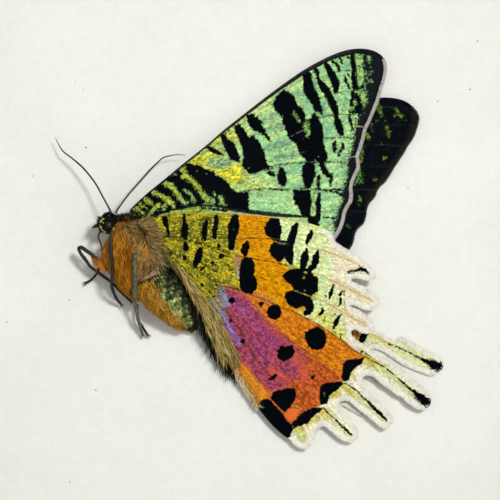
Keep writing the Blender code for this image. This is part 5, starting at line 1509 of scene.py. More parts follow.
HINDWING_RIGHT_MARKS: Sequence[Paint] = (
    Paint("bars", INK, (
        line(0.17, 15.5, -12.2, 15.5, -12.9),
        patch(17, -12.5, 17.95, -12.5, 17.6, -13.2, 17.4, -13.8, 17, -14.1, 16.4, -13.9, 16.4, -13.3),
        brush(
            20.8, -14.1, 0.07, 22.2, -14.6, 0.09, 23.5, -15.2, 0.11, 25, -16, 0.14, 26.2, -16.6, 0.22,
            27.3, -17.1, 0.5, 28.2, -17.55, 0.74, 28.6, -17.8, 0.5,
        ),
        brush(22.6, -19.9, 0.15, 23, -20.6, 0.25), brush(24.4, -23.2, 0.1, 24.5, -23.5, 0.1),
        brush(18.1, -23.6, 0.15, 18.6, -24.5, 0.25),
    ), 0.06, 0.3),
    Paint("margin_fringe", tone(232, 229, 219), (
        along(0.66, HINDWING_RIGHT_OUTLINE[HINDWING_RIGHT_FRINGED][8:]), along(0.3, HINDWING_RIGHT_OUTLINE[10:19]),
    ), 0.1, 0.16),
    Paint("tail_tip", INK, TAIL_TIPS_RIGHT, 0.06, 0.5, 1, None, 1.2),
)


# Wings


def spaced_path(points: np.ndarray, spacing: float, closed: bool = False) -> np.ndarray:
    """Points at equal steps along a path."""
    line_points = np.vstack([points, points[:1]]) if closed else points
    steps = np.linalg.norm(np.diff(line_points, axis=0), axis=1)
    along = np.append(0.0, np.cumsum(steps))
    count = max(3, int(round(along[-1] / spacing)))
    wanted = np.linspace(0, along[-1], count + 1)[: count if closed else None]
    return np.stack([np.interp(wanted, along, line_points[:, k]) for k in range(line_points.shape[1])], axis=1)


@dataclass
class WingSheet:
    """One wing: a thin sheet that fills its outline and carries its marks."""

    node: str
    outline: Sequence[Pair]
    lift: Lift
    finish: WingFinish
    slot: Slot
    marks: Sequence[Paint]
    zones: Sequence[Paint] = ()
    fan_centre: Pair = (-16.0, 4.0)
    fan_width: float = 26.0
    spacing: float = 0.16
    thick: float = 0.13

    def build(self) -> None:
        """Builds the sheet in place of its plain solid."""
        places, faces = self._fill()
        lift = self.lift(places[:, 0], places[:, 1])
        front = to_row(places[:, 0], places[:, 1], lift)
        back = to_row(places[:, 0], places[:, 1], lift - self.thick)
        count = len(places)
        rim = self._rim_edges(faces)
        walls = np.vstack([
            np.stack([rim[:, 1], rim[:, 0], rim[:, 0] + count], axis=1),
            np.stack([rim[:, 1], rim[:, 0] + count, rim[:, 1] + count], axis=1),
        ])
        both = np.vstack([faces, faces[:, ::-1] + count, walls])
        numbers = {paint.name: np.tile(paint.distance(places), 2) for paint in (*self.zones, *self.marks)}
        spread = places - np.array(self.fan_centre)
        fan = np.stack([
            np.hypot(spread[:, 0], spread[:, 1]),
            np.arctan2(spread[:, 1], spread[:, 0]) * self.fan_width,
            np.zeros(count),
        ], axis=1)
        numbers["fan"] = np.tile(fan, (2, 1))
        made = mesh_object(
            f"{self.node}_sheet", np.vstack([front, back]), both, self.finish.material(self.zones, self.marks),
            numbers,
        )
        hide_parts(self.node)

    def _fill(self) -> tuple[np.ndarray, np.ndarray]:
        """Fills the outline with small triangles."""
        rim = spaced_path(smooth_path(self.outline, 8, closed=True), self.spacing, closed=True)
        low, high = rim.min(0), rim.max(0)
        row_step = self.spacing * math.sqrt(3) / 2
        across, up = np.meshgrid(np.arange(low[0], high[0], self.spacing), np.arange(low[1], high[1], row_step))
        across = across + (np.arange(up.shape[0]) % 2)[:, None] * self.spacing / 2
        inner = np.stack([across.ravel(), up.ravel()], axis=1)
        inner = inner[outline_distance(inner, rim) < -0.55 * self.spacing]
        points = np.vstack([rim, inner])
        around = np.arange(len(rim))
        edges = np.stack([around, np.roll(around, -1)], axis=1).tolist()
        found = delaunay_2d_cdt([Vector(point) for point in points.tolist()], edges, [], 1, 1e-6)
        places = np.array([tuple(point) for point in found[0]])
        faces = np.array(found[2])
        corners = places[faces]
        first, second = corners[:, 1] - corners[:, 0], corners[:, 2] - corners[:, 0]
        turned = first[:, 0] * second[:, 1] - first[:, 1] * second[:, 0] < 0
        faces[turned] = faces[turned][:, ::-1]
        return places, faces

    @staticmethod
    def _rim_edges(faces: np.ndarray) -> np.ndarray:
        """The edges with a face on one side only, in that face's direction."""
        edges = np.vstack([faces[:, [0, 1]], faces[:, [1, 2]], faces[:, [2, 0]]])
        keys = edges[:, 0].astype(np.int64) * (faces.max() + 1) + edges[:, 1]
        back_keys = edges[:, 1].astype(np.int64) * (faces.max() + 1) + edges[:, 0]
        return edges[~np.isin(keys, back_keys)]


@dataclass
class Fringe:
    """The soft comb of long scales along a wing's margin."""

    name: str
    margin: Sequence[Pair]
    lift: Lift
    slot: Slot
    finish: BladeFinish
    seed: int
    inset: float = 0.62
    length: float = 0.62
    width: float = 0.08
    density: float = 26.0
    rows: Sequence[float] = (0.0, 0.34)
    lean: float = 0.22
    zones: int = 1
    bare: Sequence[Stroke] = ()

    def build(self) -> None:
        """Builds the fringe; none of it grows from the bare parts."""
        coat = BladeCoat(self.name, self.seed, steps=4)
        path = spaced_path(smooth_path(self.margin, 6), 1.0 / self.density)
        along = np.gradient(path, axis=0)
        along /= np.linalg.norm(along, axis=1, keepdims=True)
        outward = left_of(along)
        for part in self.bare:
            grown = part.distance(path - outward * 0.3, 2.0) > 0.05
            path, along, outward = path[grown], along[grown], outward[grown]
        for row in self.rows:
            count = len(path)
            turn = coat.random.normal(0, self.lean, count)
            aims = outward * np.cos(turn)[:, None] + along * np.sin(turn)[:, None]
            deep = self.inset - row + coat.random.normal(0, 0.05, count)
            roots = path - outward * deep[:, None]
            lengths = np.minimum(self.length * coat.random.uniform(0.75, 1.1, count), deep + 0.14)
            widths = self.width * coat.random.uniform(0.6, 1.3, count)
            zone = np.clip(coat.random.normal(0.15 + row, 0.3, count), 0, self.zones - 1)
            coat.grow(roots, aims, lengths, widths, self.lift, zone, curl=0.12, rise=0.07, start=0.015)
        coat.build(self.finish.material(), self.slot)


# Body

BODY_CENTRE: Pair = (-17.9, -0.5)
BODY_SLOPE = math.radians(-51.5)
BODY_AXIS: Pair = (math.cos(BODY_SLOPE), math.sin(BODY_SLOPE))
HAIR_PROFILE = (0.7, 1.0, 0.8, 0.5, 0.1)


def unit(vectors: np.ndarray) -> np.ndarray:
    """The vectors scaled to length 1."""
    return vectors / np.maximum(np.linalg.norm(vectors, axis=-1, keepdims=True), 1e-9)


def ripple(first: np.ndarray, second: np.ndarray, seed: float) -> np.ndarray:
    """A smooth pattern between -1 and 1 over two coordinates."""
    return (
        np.sin(first * 1.7 + seed + 1.3 * np.sin(second * 1.1 + seed * 2))
        + np.sin(second * 2.3 - first * 0.9 + seed * 3)
        + np.sin(first * 3.1 + second * 2.9 + seed * 5)
    ) / 3


@dataclass(frozen=True)
class RoundBody:
    """A rounded body part; each station is (along, beside, half width, half height, lift)."""

    stations: Sequence[Sequence[float]]
    cap: float = 0.9

    def place(self, along: np.ndarray, turn: np.ndarray, off: np.ndarray | float) -> np.ndarray:
        """Points on or off the surface.

        Args:
            along: how far along the moth's axis.
            turn: the angle round it; a quarter turn faces the viewer.
            off: how far outside the surface.

        Returns:
            Rows of (across, up, lift).
        """
        rows = np.array(self.stations)
        beside, wide, high, lift = (np.interp(along, rows[:, 0], rows[:, k]) for k in range(1, 5))
        sideways = beside + (wide + off) * np.cos(turn)
        across = BODY_CENTRE[0] + along * BODY_AXIS[0] - sideways * BODY_AXIS[1]
        up = BODY_CENTRE[1] + along * BODY_AXIS[1] + sideways * BODY_AXIS[0]
        return np.stack([across, up, lift + (high + off) * np.sin(turn)], axis=-1)

    def skin(self, off: float, rows: int = 90, sides: int = 72, rough: float = 0.05) -> tuple[np.ndarray, np.ndarray]:
        """A closed rounded mesh a little inside the surface.

        Args:
            off: how far outside the stations it lies; below zero is inside.
            rows: how many rings it has.
            sides: how many points a ring has.
            rough: how uneven it is.

        Returns:
            Its points in the row frame and its faces.
        """
        first, last = self.stations[0][0], self.stations[-1][0]
        along = np.linspace(first - off * 0.5, last + off * 0.5, rows)
        turn = np.arange(sides) * 2 * math.pi / sides
        grid_along, grid_turn = np.meshgrid(along, turn, indexing="ij")
        bumps = off + rough * ripple(grid_along * 3, np.cos(grid_turn) * 5 + np.sin(grid_turn) * 4, 0.4)
        around = self.place(grid_along, grid_turn, bumps)
        middle = around.mean(axis=1, keepdims=True)
        near_end = np.minimum(along - along[0], along[-1] - along) / self.cap
        round_off = np.sqrt(np.clip(1 - (1 - np.clip(near_end, 0.02, 1)) ** 2, 0, 1))
        around = middle + (around - middle) * round_off[:, None, None]
        return closed_rings(row_of(around))

    def cover(
        self, coat: BladeCoat, along: np.ndarray, turn: np.ndarray, aims: np.ndarray, lengths: np.ndarray,
        widths: np.ndarray, zone: np.ndarray, start: float = -0.3, rise: float = 0.4, curl: float = 0.2,
    ) -> None:
        """Lays blades over the surface.

        Args:
            coat: the coat they join.
            along: how far along the axis each one starts.
            turn: at which angle it starts.
            aims: its direction as seen on the paper.
            lengths: its length.
            widths: its width.
            zone: a number that picks its colour.
            start: how far outside the surface its root is.
            rise: how much further out its tip is.
            curl: how far it bends to a side, against its length.
        """
        count = len(along)
        rows = np.array(self.stations)
        wide = np.interp(along, rows[:, 0], rows[:, 2])
        step_along = aims[:, 0] * BODY_AXIS[0] + aims[:, 1] * BODY_AXIS[1]
        step_beside = -aims[:, 0] * BODY_AXIS[1] + aims[:, 1] * BODY_AXIS[0]
        shallow = np.where(np.sin(turn) >= 0, 1.0, -1.0) * np.maximum(np.abs(np.sin(turn)), 0.45)
        share = np.linspace(0, 1, coat.steps)[None, :]
        bend = coat.random.normal(0, curl, (count, 1)) * share**2
        path_along = along[:, None] + lengths[:, None] * (step_along[:, None] * share - step_beside[:, None] * bend)
        sideways = lengths[:, None] * (step_beside[:, None] * share + step_along[:, None] * bend)
        path_turn = turn[:, None] - sideways / (wide[:, None] * shallow[:, None])
        off = start + rise * coat.random.uniform(0.4, 1.2, (count, 1)) * share**0.8
        spots = self.place(path_along, path_turn, off)
        side_axis = np.array([-BODY_AXIS[1], 0.0, BODY_AXIS[0]])
        facing = np.cos(turn)[:, None] * side_axis + np.sin(turn)[:, None] * np.array([0.0, -1.0, 0.0])
        coat.lay(row_of(spots), widths, zone, facing)


@dataclass(frozen=True)
class Flow:
    """Which way hair lies: arrows of (across, up, aim across, aim up) that blend into each other."""

    arrows: Sequence[Sequence[float]]

    def at(self, places: np.ndarray) -> np.ndarray:
        """The way hair lies at each place."""
        rows = np.array(self.arrows)
        gaps = ((places[:, None, :] - rows[None, :, :2]) ** 2).sum(axis=2)
        weights = 1.0 / (gaps + 0.15) ** 2
        return unit((weights[:, :, None] * unit(rows[None, :, 2:])).sum(axis=1))


@dataclass
class Thorax:
    """The furry middle of the body."""

    shape: RoundBody = RoundBody((
        (-3.85, 0.6, 2.1, 1.7, 3.6), (-3.4, 0.35, 2.95, 2.3, 3.6), (-3.0, 0.25, 3.2, 2.6, 3.6),
        (-2.4, 0.15, 3.7, 2.85, 3.6), (-1.4, 0.1, 4.02, 3.08, 3.6), (0, 0, 4.2, 3.15, 3.6),
        (1.1, -0.05, 4.3, 3.2, 3.6), (2.2, -0.25, 4.25, 3.1, 3.5), (3.2, -0.65, 3.95, 2.9, 3.4),
        (3.95, -1.15, 3.35, 2.5, 3.2), (4.15, -3.25, 1.15, 1.3, 3.0), (4.6, -3.6, 0.8, 1.0, 3.0),
        (4.9, -3.7, 0.5, 0.7, 3.0),
    ))
    hairs: int = 11000
    flow: Flow = Flow((
        (-21.6, 2.0, -0.2, -1), (-22.0, 0.6, -0.15, -1), (-22.2, -1.0, 0.05, -1), (-21.3, -2.6, 0.35, -0.93),
        (-20.3, -4.4, 0.4, -0.9), (-19.2, -6.0, 0.5, -0.87), (-18.4, -7.2, 0.45, -0.9), (-20.4, 1.4, -0.25, -0.97),
        (-20.2, -1.2, 0.12, -0.99), (-19.0, -3.2, 0.3, -0.95), (-17.8, -5.0, 0.5, -0.87), (-19.6, 3.4, 0.3, -0.95),
        (-18.6, 4.4, 0.85, -0.5), (-18.2, 2.8, 0.5, -0.86), (-18.8, 1.2, 0.25, -0.97), (-17.6, 0.4, 0.5, -0.86),
        (-18.2, -1.6, 0.35, -0.94), (-16.8, 3.8, 0.8, -0.6), (-16.4, 2.4, 0.3, -0.95), (-15.6, 1.4, -0.5, -0.87),
        (-16.6, 0.6, -0.2, -0.98), (-15.2, 0.4, -0.5, -0.87), (-16.2, -1.4, 0.1, -0.99), (-15.0, -1.4, 0.3, -0.95),
        (-14.6, -2.6, 0.5, -0.87), (-16.4, -3.4, 0.2, -0.98), (-15.2, -4.4, 0.35, -0.93),
    ))
    grey_area: Stroke = brush(
        -18.6, 4.2, 0.8, -17.6, 3.6, 1.2, -16.6, 2.7, 1.5, -15.8, 1, 1.2, -15.4, -0.8, 1.2, -15.6, -2.6, 1.1,
        -15.9, -4.2, 0.7,
    )

    def build(self) -> None:
        """Builds the skin and the fur."""
        points, faces = self.shape.skin(-0.45)
        skin = SkinFinish("thorax_skin", tone(112, 62, 20), tone(58, 36, 16), 1.4, 0.8, 0.05)
        made = mesh_object("thorax_skin", points, faces, skin.material())
        coat = BladeCoat("thorax_fur", 21, steps=5)
        self._fur(coat)
        fur = BladeFinish("thorax_hair", (
            tone(236, 164, 58), tone(190, 118, 24), tone(120, 68, 10), tone(44, 26, 10), tone(130, 100, 54),
            tone(178, 146, 88), tone(232, 202, 150),
        ), 0.5, 0.7, 0.6, 0.03)
        grown = coat.build(fur.material(), Slot.FUR, HAIR_PROFILE)
        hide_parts("thorax")
        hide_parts("thorax")

    def _fur(self, coat: BladeCoat) -> None:
        """Grows rust fur down the body, and brown-grey hair near the wings' hinge with pale strays."""
        random = coat.random
        count = self.hairs
        along = random.uniform(-3.9, 4.8, count)
        turn = np.where(
            random.uniform(0, 1, count) < 0.84, random.uniform(-0.5, math.pi + 0.5, count),
            random.uniform(0, 2 * math.pi, count),
        )
        spots = self.shape.place(along, turn, 0.0)[:, :2]
        locks = ripple(spots[:, 0] * 1.3, spots[:, 1] * 1.3, 4.0)
        aims = self.flow.at(spots)
        side = left_of(aims)
        stray = random.uniform(0, 1, count) < 0.07
        turned = 0.16 * locks + random.normal(0, 1, count) * np.where(stray, 0.6, 0.12)
        aims = unit(aims + side * turned[:, None])
        into = self.grey_area.distance(spots, 8.0) + 0.5 * ripple(spots[:, 0] * 1.5, spots[:, 1] * 1.5, 1.0)
        grey = into + random.normal(0, 0.3, count) < 0
        deep = np.exp(-((spots[:, 0] + 18.6) ** 2 / 1.6 + (spots[:, 1] + 0.4) ** 2 / 5.0))
        across_lie = (spots * side).sum(axis=1)
        clumps = 0.5 * ripple(across_lie * 5.0, along * 0.8, 2.0) + 0.5 * ripple(along * 2.2, turn * 3.4, 2.0)
        rust = np.clip(0.8 + 0.8 * deep + 1.2 * clumps + random.normal(0, 0.55, count), 0, 3)
        dull = np.clip(4.1 + 1.1 * clumps + random.normal(0, 0.6, count), 2.9, 5.6)
        zone = np.where(grey, dull, rust)
        zone = np.where(stray, np.where(grey, 6.0, 0.2), zone)
        lengths = random.uniform(1.0, 2.0, count) * np.where(stray, 1.2, 1.0)
        widths = random.uniform(0.06, 0.14, count) * np.where(stray, 0.6, 1.0)
        self.shape.cover(coat, along, turn, aims, lengths, widths, zone, -0.42, 0.5, 0.16)


@dataclass
class Abdomen:
    """The ringed abdomen: flat scales over it, and orange hair along its underside."""

    first: float = 4.4
    last: float = 14.9
    flakes: int = 5200
    hairs: int = 2600

    def shape(self) -> RoundBody:
        """Its rings."""
        rows = []
        for share in np.linspace(0, 1, 23):
            wide = 2.75 + 0.3 * math.sin(math.pi * min(share * 1.7, 1.0)) - 2.15 * share**3.0
            wide *= 1 - 0.05 * abs(math.cos(math.pi * 7.5 * share))
            high = wide * 0.95
            rows.append((self.first + (self.last - self.first) * share, 0.4 - 0.1 * share, wide, high, high + 0.4))
        return RoundBody(tuple(rows), cap=0.6)

    def build(self) -> None:
        """Builds the skin, the scales and the hair."""
        shape = self.shape()
        points, faces = shape.skin(-0.22, rows=120)
        skin = SkinFinish("abdomen_skin", tone(70, 80, 48), tone(24, 28, 24), 1.8, 0.6, 0.15)
        made = mesh_object("abdomen_skin", points, faces, skin.material())
        scales = BladeCoat("abdomen_scales", 31, steps=4)
        self._scales(scales, shape)
        dress = BladeFinish("abdomen_scale", (
            tone(216, 228, 146), tone(158, 174, 96), tone(88, 100, 58), tone(26, 30, 24), tone(206, 214, 90),
        ), 0.8, 0.45, 0.5, 0.12)
        laid = scales.build(dress.material(), Slot.GREEN_SCALES, (0.5, 1.0, 0.95, 0.45))
        hair = BladeCoat("abdomen_hair", 32, steps=5)
        self._hair(hair, shape)
        fur = BladeFinish(
            "abdomen_fur", (tone(238, 180, 70), tone(192, 136, 44), tone(104, 76, 34)), 0.55, 0.7, 0.6, 0.03,
        )
        grown = hair.build(fur.material(), Slot.FUR, HAIR_PROFILE)
        for piece in (made, laid, grown):
            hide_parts("abdomen")

    def _scales(self, coat: BladeCoat, shape: RoundBody) -> None:
        """Lays the scales in clumps of green and black."""
        random = coat.random
        count = self.flakes
        along = random.uniform(self.first, self.last - 0.25, count)
        turn = random.uniform(0, 2 * math.pi, count)
        spots = shape.place(along, turn, 0.0)[:, :2]
        aims = unit(np.array(BODY_AXIS) + random.normal(0, 0.4, (count, 2)))
        clumps = 0.6 * ripple(along * 1.9, turn * 2.3, 0.7) + 0.6 * ripple(along * 3.4, turn * 4.2, 1.9)
        share = (along - self.first) / (self.last - self.first)
        light = np.exp(-((share - 0.6) ** 2) / 0.09) * np.clip(0.55 - np.cos(turn), 0, 1)
        zone = np.clip(2.35 - 1.75 * light + 1.9 * clumps + random.normal(0, 0.35, count), 0, 3)
        # Painted shade: the side towards the hindwing is pushed to dark and black tones, where the wing's hair
        # overhangs it.
        zone = np.where(np.cos(turn) > 0.62, np.clip(zone + 0.9, 1.8, 3), zone)
        zone = np.where(share > 0.9, np.clip(zone + 1.2, 1.6, 3), zone)
        lime = brush(-16.2, -4.6, 0.35, -15, -5.4, 0.5, -14.6, -6.6, 0.4).distance(spots, 3.0)
        zone = np.where(lime + 0.2 * clumps < 0, 4.0, zone)
        lengths = random.uniform(0.32, 0.62, count)
        widths = random.uniform(0.16, 0.32, count)
        shape.cover(coat, along, turn, aims, lengths, widths, zone, -0.16, 0.24, 0.2)

    def _hair(self, coat: BladeCoat, shape: RoundBody) -> None:
        """Grows the orange hair along the lower left side."""
        random = coat.random
        count = self.hairs
        along = self.first - 0.2 + (self.last - self.first - 2.2) * random.uniform(0, 1, count) ** 1.1
        turn = math.pi + random.normal(-0.18, 0.42, count) - 0.35 * (1 - (along - self.first) / 10)
        clumps = ripple(along * 2.1, turn * 2.6, 1.9)
        aims = unit(
            np.array(BODY_AXIS) + np.array([-0.3, -0.12]) + random.normal(0, 0.2, (count, 2)) + 0.15 * clumps[:, None]
        )
        zone = np.clip(0.6 + 0.9 * clumps + random.normal(0, 0.55, count), 0, 2)
        lengths = random.uniform(0.8, 2.4, count)
        widths = random.uniform(0.07, 0.15, count)
        shape.cover(coat, along, turn, aims, lengths, widths, zone, -0.1, 0.9, 0.25)


@dataclass(frozen=True)
class Ball:
    """A ball, flattened or not, with scales laid on it."""

    centre: Triple
    flat: float
    off: float

    def mesh(
        self, shrink: float, rows: int = 28, sides: int = 40, rough: float = 0.0,
    ) -> tuple[np.ndarray, np.ndarray]:
        """Its points in the row frame and its faces.

        Args:
            shrink: its size against the full one.
            rows: how many rings it has.
            sides: how many points a ring has.
            rough: how uneven it is.

        Returns:
            The points and the faces.
        """
        lean = np.linspace(-math.pi / 2 + 0.05, math.pi / 2 - 0.05, rows)
        turn = np.arange(sides) * 2 * math.pi / sides
        grid_lean, grid_turn = np.meshgrid(lean, turn, indexing="ij")
        return closed_rings(
            self._row(grid_turn, grid_lean, shrink + rough * ripple(grid_turn * 2, grid_lean * 4, 1.0))
        )

    def _row(self, turn: np.ndarray, lean: np.ndarray, size: np.ndarray | float) -> np.ndarray:
        """Points of the ball in the row frame."""
        across = self.centre[0] + self.flat * size * np.cos(lean) * np.cos(turn)
        up = self.centre[1] + self.flat * size * np.cos(lean) * np.sin(turn)
        return to_row(across, up, self.centre[2] + self.off * size * np.sin(lean))

    def cover(
        self, coat: BladeCoat, count: int, aim: Pair, length: Pair, width: Pair,
        zone: Callable[[np.ndarray], np.ndarray],
    ) -> None:
        """Lays scales over it.

        Args:
            coat: the coat they join.
            count: how many there are.
            aim: their direction on the paper.
            length: their shortest and longest length.
            width: their smallest and largest width.
            zone: gives the zone at rows of (across, up, lift).
        """
        random = coat.random
        normal = unit(random.normal(0, 1, (count, 3)))
        radii = np.array([self.flat, self.flat, self.off])
        heading = np.array([aim[0], aim[1], 0.0]) + random.normal(0, 0.35, (count, 3))
        heading = unit(heading - normal * (heading * normal).sum(axis=1, keepdims=True))
        lengths = random.uniform(*length, count)
        share = np.linspace(0, 1, coat.steps)
        spots = []
        for part in share:
            moved = unit(normal + heading * (lengths * part / self.flat)[:, None])
            spots.append(np.array(self.centre) + moved * (radii + 0.08 * part))
        path = np.stack(spots, axis=1)
        facing = np.stack([normal[:, 0], -normal[:, 2], normal[:, 1]], axis=1)
        coat.lay(row_of(path), random.uniform(*width, count), zone(path[:, 0]), facing)


@dataclass
class Head:
    """The head, its eyes and its palps."""

    skull: Ball = Ball((-21.15, 3.95, 3.9), 1.5, 1.38)
    eye_place: Pair = (-21.0, 3.7)
    eye_lift: float = 1.15
    eye_radius: float = 0.75

    def build(self) -> None:
        """Builds the head."""
        points, faces = self.skull.mesh(0.9, rough=0.03)
        skin = SkinFinish("head_skin", tone(24, 23, 20), tone(8, 8, 9), 2.5, 0.5, 0.1)
        made = mesh_object("head_skin", points, faces, skin.material())
        coat = BladeCoat("head_scales", 41, steps=4)
        self.skull.cover(coat, 1700, (0.5, -0.85), (0.2, 0.4), (0.08, 0.17), self._zone)
        self._eye_rim(coat)
        dress = BladeFinish("head_scale", (
            tone(12, 12, 14), tone(38, 42, 26), tone(168, 184, 60), tone(226, 228, 130),
        ), 0.8, 0.4, 0.5, 0.15)
        laid = coat.build(dress.material(), Slot.BLACK_SCALES, (0.5, 1.0, 0.9, 0.3))
        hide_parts("head")
        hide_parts("head")
        self._eyes()
        self._palps(dress)

    @staticmethod
    def _zone(spots: np.ndarray) -> np.ndarray:
        """Black with yellow-green patches at the front and round the eye."""
        places = spots[:, :2]
        patches = (
            dot(-22.2, 4.5, 0.16), dot(-22.5, 3.9, 0.1), dot(-22.25, 3.6, 0.14),
            brush(-22.2, 3.2, 0.14, -22, 2.95, 0.12), dot(-21.8, 4.75, 0.08), dot(-21.35, 4.85, 0.06),
            dot(-21.75, 2.75, 0.16), line(0.1, -20.45, 3.9, -20.5, 3.3), dot(-22, 4.2, 0.1), dot(-21.1, 5.2, 0.1),
        )
        near = np.min([patch.distance(places, 2.0) for patch in patches], axis=0)
        spread = ripple(places[:, 0] * 6, places[:, 1] * 6, 0.3)
        zone = np.where(near + 0.08 * spread < 0, 2.75 + 0.5 * spread, 0.2 + 0.4 * spread)
        return np.clip(zone, 0, 3)

    def _eye_rim(self, coat: BladeCoat) -> None:
        """Lays scales that overlap the rim of each eye."""
        random = coat.random
        count = 260
        for sign in (1, -1):
            turn = random.uniform(0, 2 * math.pi, (count, 1))
            away = self.eye_radius * (
                1.04 - np.linspace(0, 1, coat.steps)[None, :] * random.uniform(0.2, 0.42, (count, 1))
            )
            drawn = turn + random.normal(0, 0.12, (count, 1)) * np.linspace(0, 1, coat.steps)[None, :]
            dome = np.sqrt(np.maximum(self.eye_radius**2 - away**2, 0.0)) + 0.05
            across = self.eye_place[0] + away * np.cos(drawn)
            up = self.eye_place[1] + away * np.sin(drawn)
            high = self.skull.centre[2] + sign * (self.eye_lift + dome)
            places = np.stack([across[:, 0], up[:, 0]], axis=1)
            coat.lay(to_row(across, up, high), random.uniform(0.08, 0.15, count), self._zone(places))

    def _eyes(self) -> None:
        """Builds the two glossy eyes."""
        finish = SkinFinish("eye_glaze", tone(50, 32, 20), tone(24, 15, 11), 5.0, 0.24, 0.3, 0.00002).material()
        for name, sign in (("eye_left", 1), ("eye_right", -1)):
            ball = Ball(
                (*self.eye_place, self.skull.centre[2] + sign * self.eye_lift), self.eye_radius, self.eye_radius,
            )
            points, faces = ball.mesh(1.0)
            made = mesh_object(f"{name}_globe", points, faces, finish)
            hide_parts(name)

    @staticmethod
    def _palps(dress: BladeFinish) -> None:
        """Builds the two short palps with their pointed tips."""
        skin = SkinFinish("palp_skin", tone(22, 22, 20), tone(8, 8, 9), 3.0, 0.5, 0.15).material()
        for name, lift in (("palp_left", 4.4), ("palp_right", 3.3)):
            path = smooth_path([(-22.75, 3.72, lift), (-23.1, 3.55, lift), (-23.55, 3.3, lift)], 6)
            radii = np.interp(np.linspace(0, 1, len(path)), [0, 0.3, 0.7, 1], [0.24, 0.26, 0.15, 0.03])
            points, faces = tube_mesh(path, radii, 12)
            made = mesh_object(f"{name}_stem", points, faces, skin)
            coat = BladeCoat(f"{name}_scales", 43, steps=4)
            roots = path[coat.random.integers(0, len(path) - 3, 90)]
            aims = unit(np.array([-0.8, -0.45]) + coat.random.normal(0, 0.25, (90, 2)))
            coat.grow(
                roots[:, :2] + coat.random.normal(0, 0.06, (90, 2)), aims, coat.random.uniform(0.15, 0.3, 90),
                coat.random.uniform(0.04, 0.08, 90), level(lift + 0.1),
                coat.random.choice([0.0, 0.5, 2.2], 90, p=[0.75, 0.2, 0.05]),
            )
            laid = coat.build(dress.material(), Slot.BLACK_SCALES)
            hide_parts(name)
            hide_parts(name)


@dataclass
class Limb:
    """A leg, feeler or tongue: a jointed tube with bristles."""

    node: str
    path: Sequence[Triple]
    radii: Sequence[Pair]
    finish: SkinFinish
    slot: Slot
    seed: int
    bristles: int = 0
    bristle_length: Pair = (0.25, 0.5)
    bristle_tones: Sequence[Colour] = (tone(26, 22, 20), tone(70, 58, 44))
    ring_step: float = 0.0
    claw: bool = False
    step: float = 0.09
    ring_depth: float = 0.12

    def build(self) -> None:
        """Builds the limb."""
        path = spaced_path(smooth_path(self.path, 10), self.step)
        share = np.linspace(0, 1, len(path))
        stops = np.array(self.radii)
        radii = np.interp(share, stops[:, 0], stops[:, 1])
        if self.ring_step:
            length = self.step * len(path)
            radii = radii * (1 - self.ring_depth * np.abs(np.cos(math.pi * share * length / self.ring_step)) ** 6)
        points, faces = tube_mesh(path, radii, 12)
        made = mesh_object(f"{self.node}_stem", points, faces, self.finish.material())
        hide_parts(self.node)
        if self.claw:
            self._claws(path)
        if self.bristles:
            self._bristles(path, radii)

    def _claws(self, path: np.ndarray) -> None:
        """Builds the pair of claws at the leg's tip."""
        tip, before = path[-1], path[-6]
        heading = unit(tip[:2] - before[:2])
        side = np.array([-heading[1], heading[0]])
        parts = []
        for sign in (-1, 1):
            ends = [
                tip[:2], tip[:2] + heading * 0.28 + side * sign * 0.2, tip[:2] + heading * 0.5 + side * sign * 0.18,
            ]
            claw = smooth_path([(*end, max(tip[2] - 0.1 * k, 0.2)) for k, end in enumerate(ends)], 5)
            parts.append(tube_mesh(claw, np.linspace(0.11, 0.03, len(claw)), 8))
        points = np.vstack([part[0] for part in parts])
        faces = np.vstack([parts[0][1], parts[1][1] + len(parts[0][0])])
        made = mesh_object(f"{self.node}_claws", points, faces, self.finish.material())
        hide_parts(self.node)

    def _bristles(self, path: np.ndarray, radii: np.ndarray) -> None:
        """Grows the short bristles, which lean towards the tip."""
        coat = BladeCoat(f"{self.node}_bristles", self.seed, steps=3)
        random = coat.random
        spot = random.integers(1, len(path) - 2, self.bristles)
        along = unit(path[spot + 1] - path[spot - 1])
        out = unit(np.cross(along, random.normal(0, 1, (self.bristles, 3))))
        roots = path[spot] + out * radii[spot][:, None] * 0.8
        lengths = random.uniform(*self.bristle_length, self.bristles)
        aims = unit(along + out * random.uniform(0.25, 0.7, (self.bristles, 1)))
        share = np.linspace(0, 1, 3)[None, :, None]
        spots = roots[:, None, :] + aims[:, None, :] * lengths[:, None, None] * share
        spots[..., 2] = np.maximum(spots[..., 2], 0.12)
        facing = np.stack([out[:, 0], -out[:, 2], out[:, 1]], axis=1)
        zone = random.uniform(0, len(self.bristle_tones) - 1, self.bristles) ** 1.5
        coat.lay(row_of(spots), random.uniform(0.03, 0.06, self.bristles), zone, facing)
        finish = BladeFinish(f"{self.node}_bristle", self.bristle_tones, 0.8, 0.4)
        grown = coat.build(finish.material(), self.slot, (1.0, 0.8, 0.15))
        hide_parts(self.node)


DARK_CHITIN = SkinFinish("dark_chitin", tone(44, 40, 33), tone(18, 17, 15), 4.0, 0.5, 0.3)
FEELER_CHITIN = SkinFinish("feeler_chitin", tone(46, 42, 42), tone(20, 19, 21), 5.0, 0.5, 0.35)
TAN_CHITIN = SkinFinish("tan_chitin", tone(170, 140, 104), tone(110, 84, 58), 4.0, 0.6, 0.2)
TONGUE_CHITIN = SkinFinish("tongue_chitin", tone(72, 44, 28), tone(38, 24, 17), 4.0, 0.45, 0.3)
GREEN_LEG = SkinFinish("green_leg", tone(112, 116, 84), tone(44, 46, 36), 3.5, 0.5, 0.3)

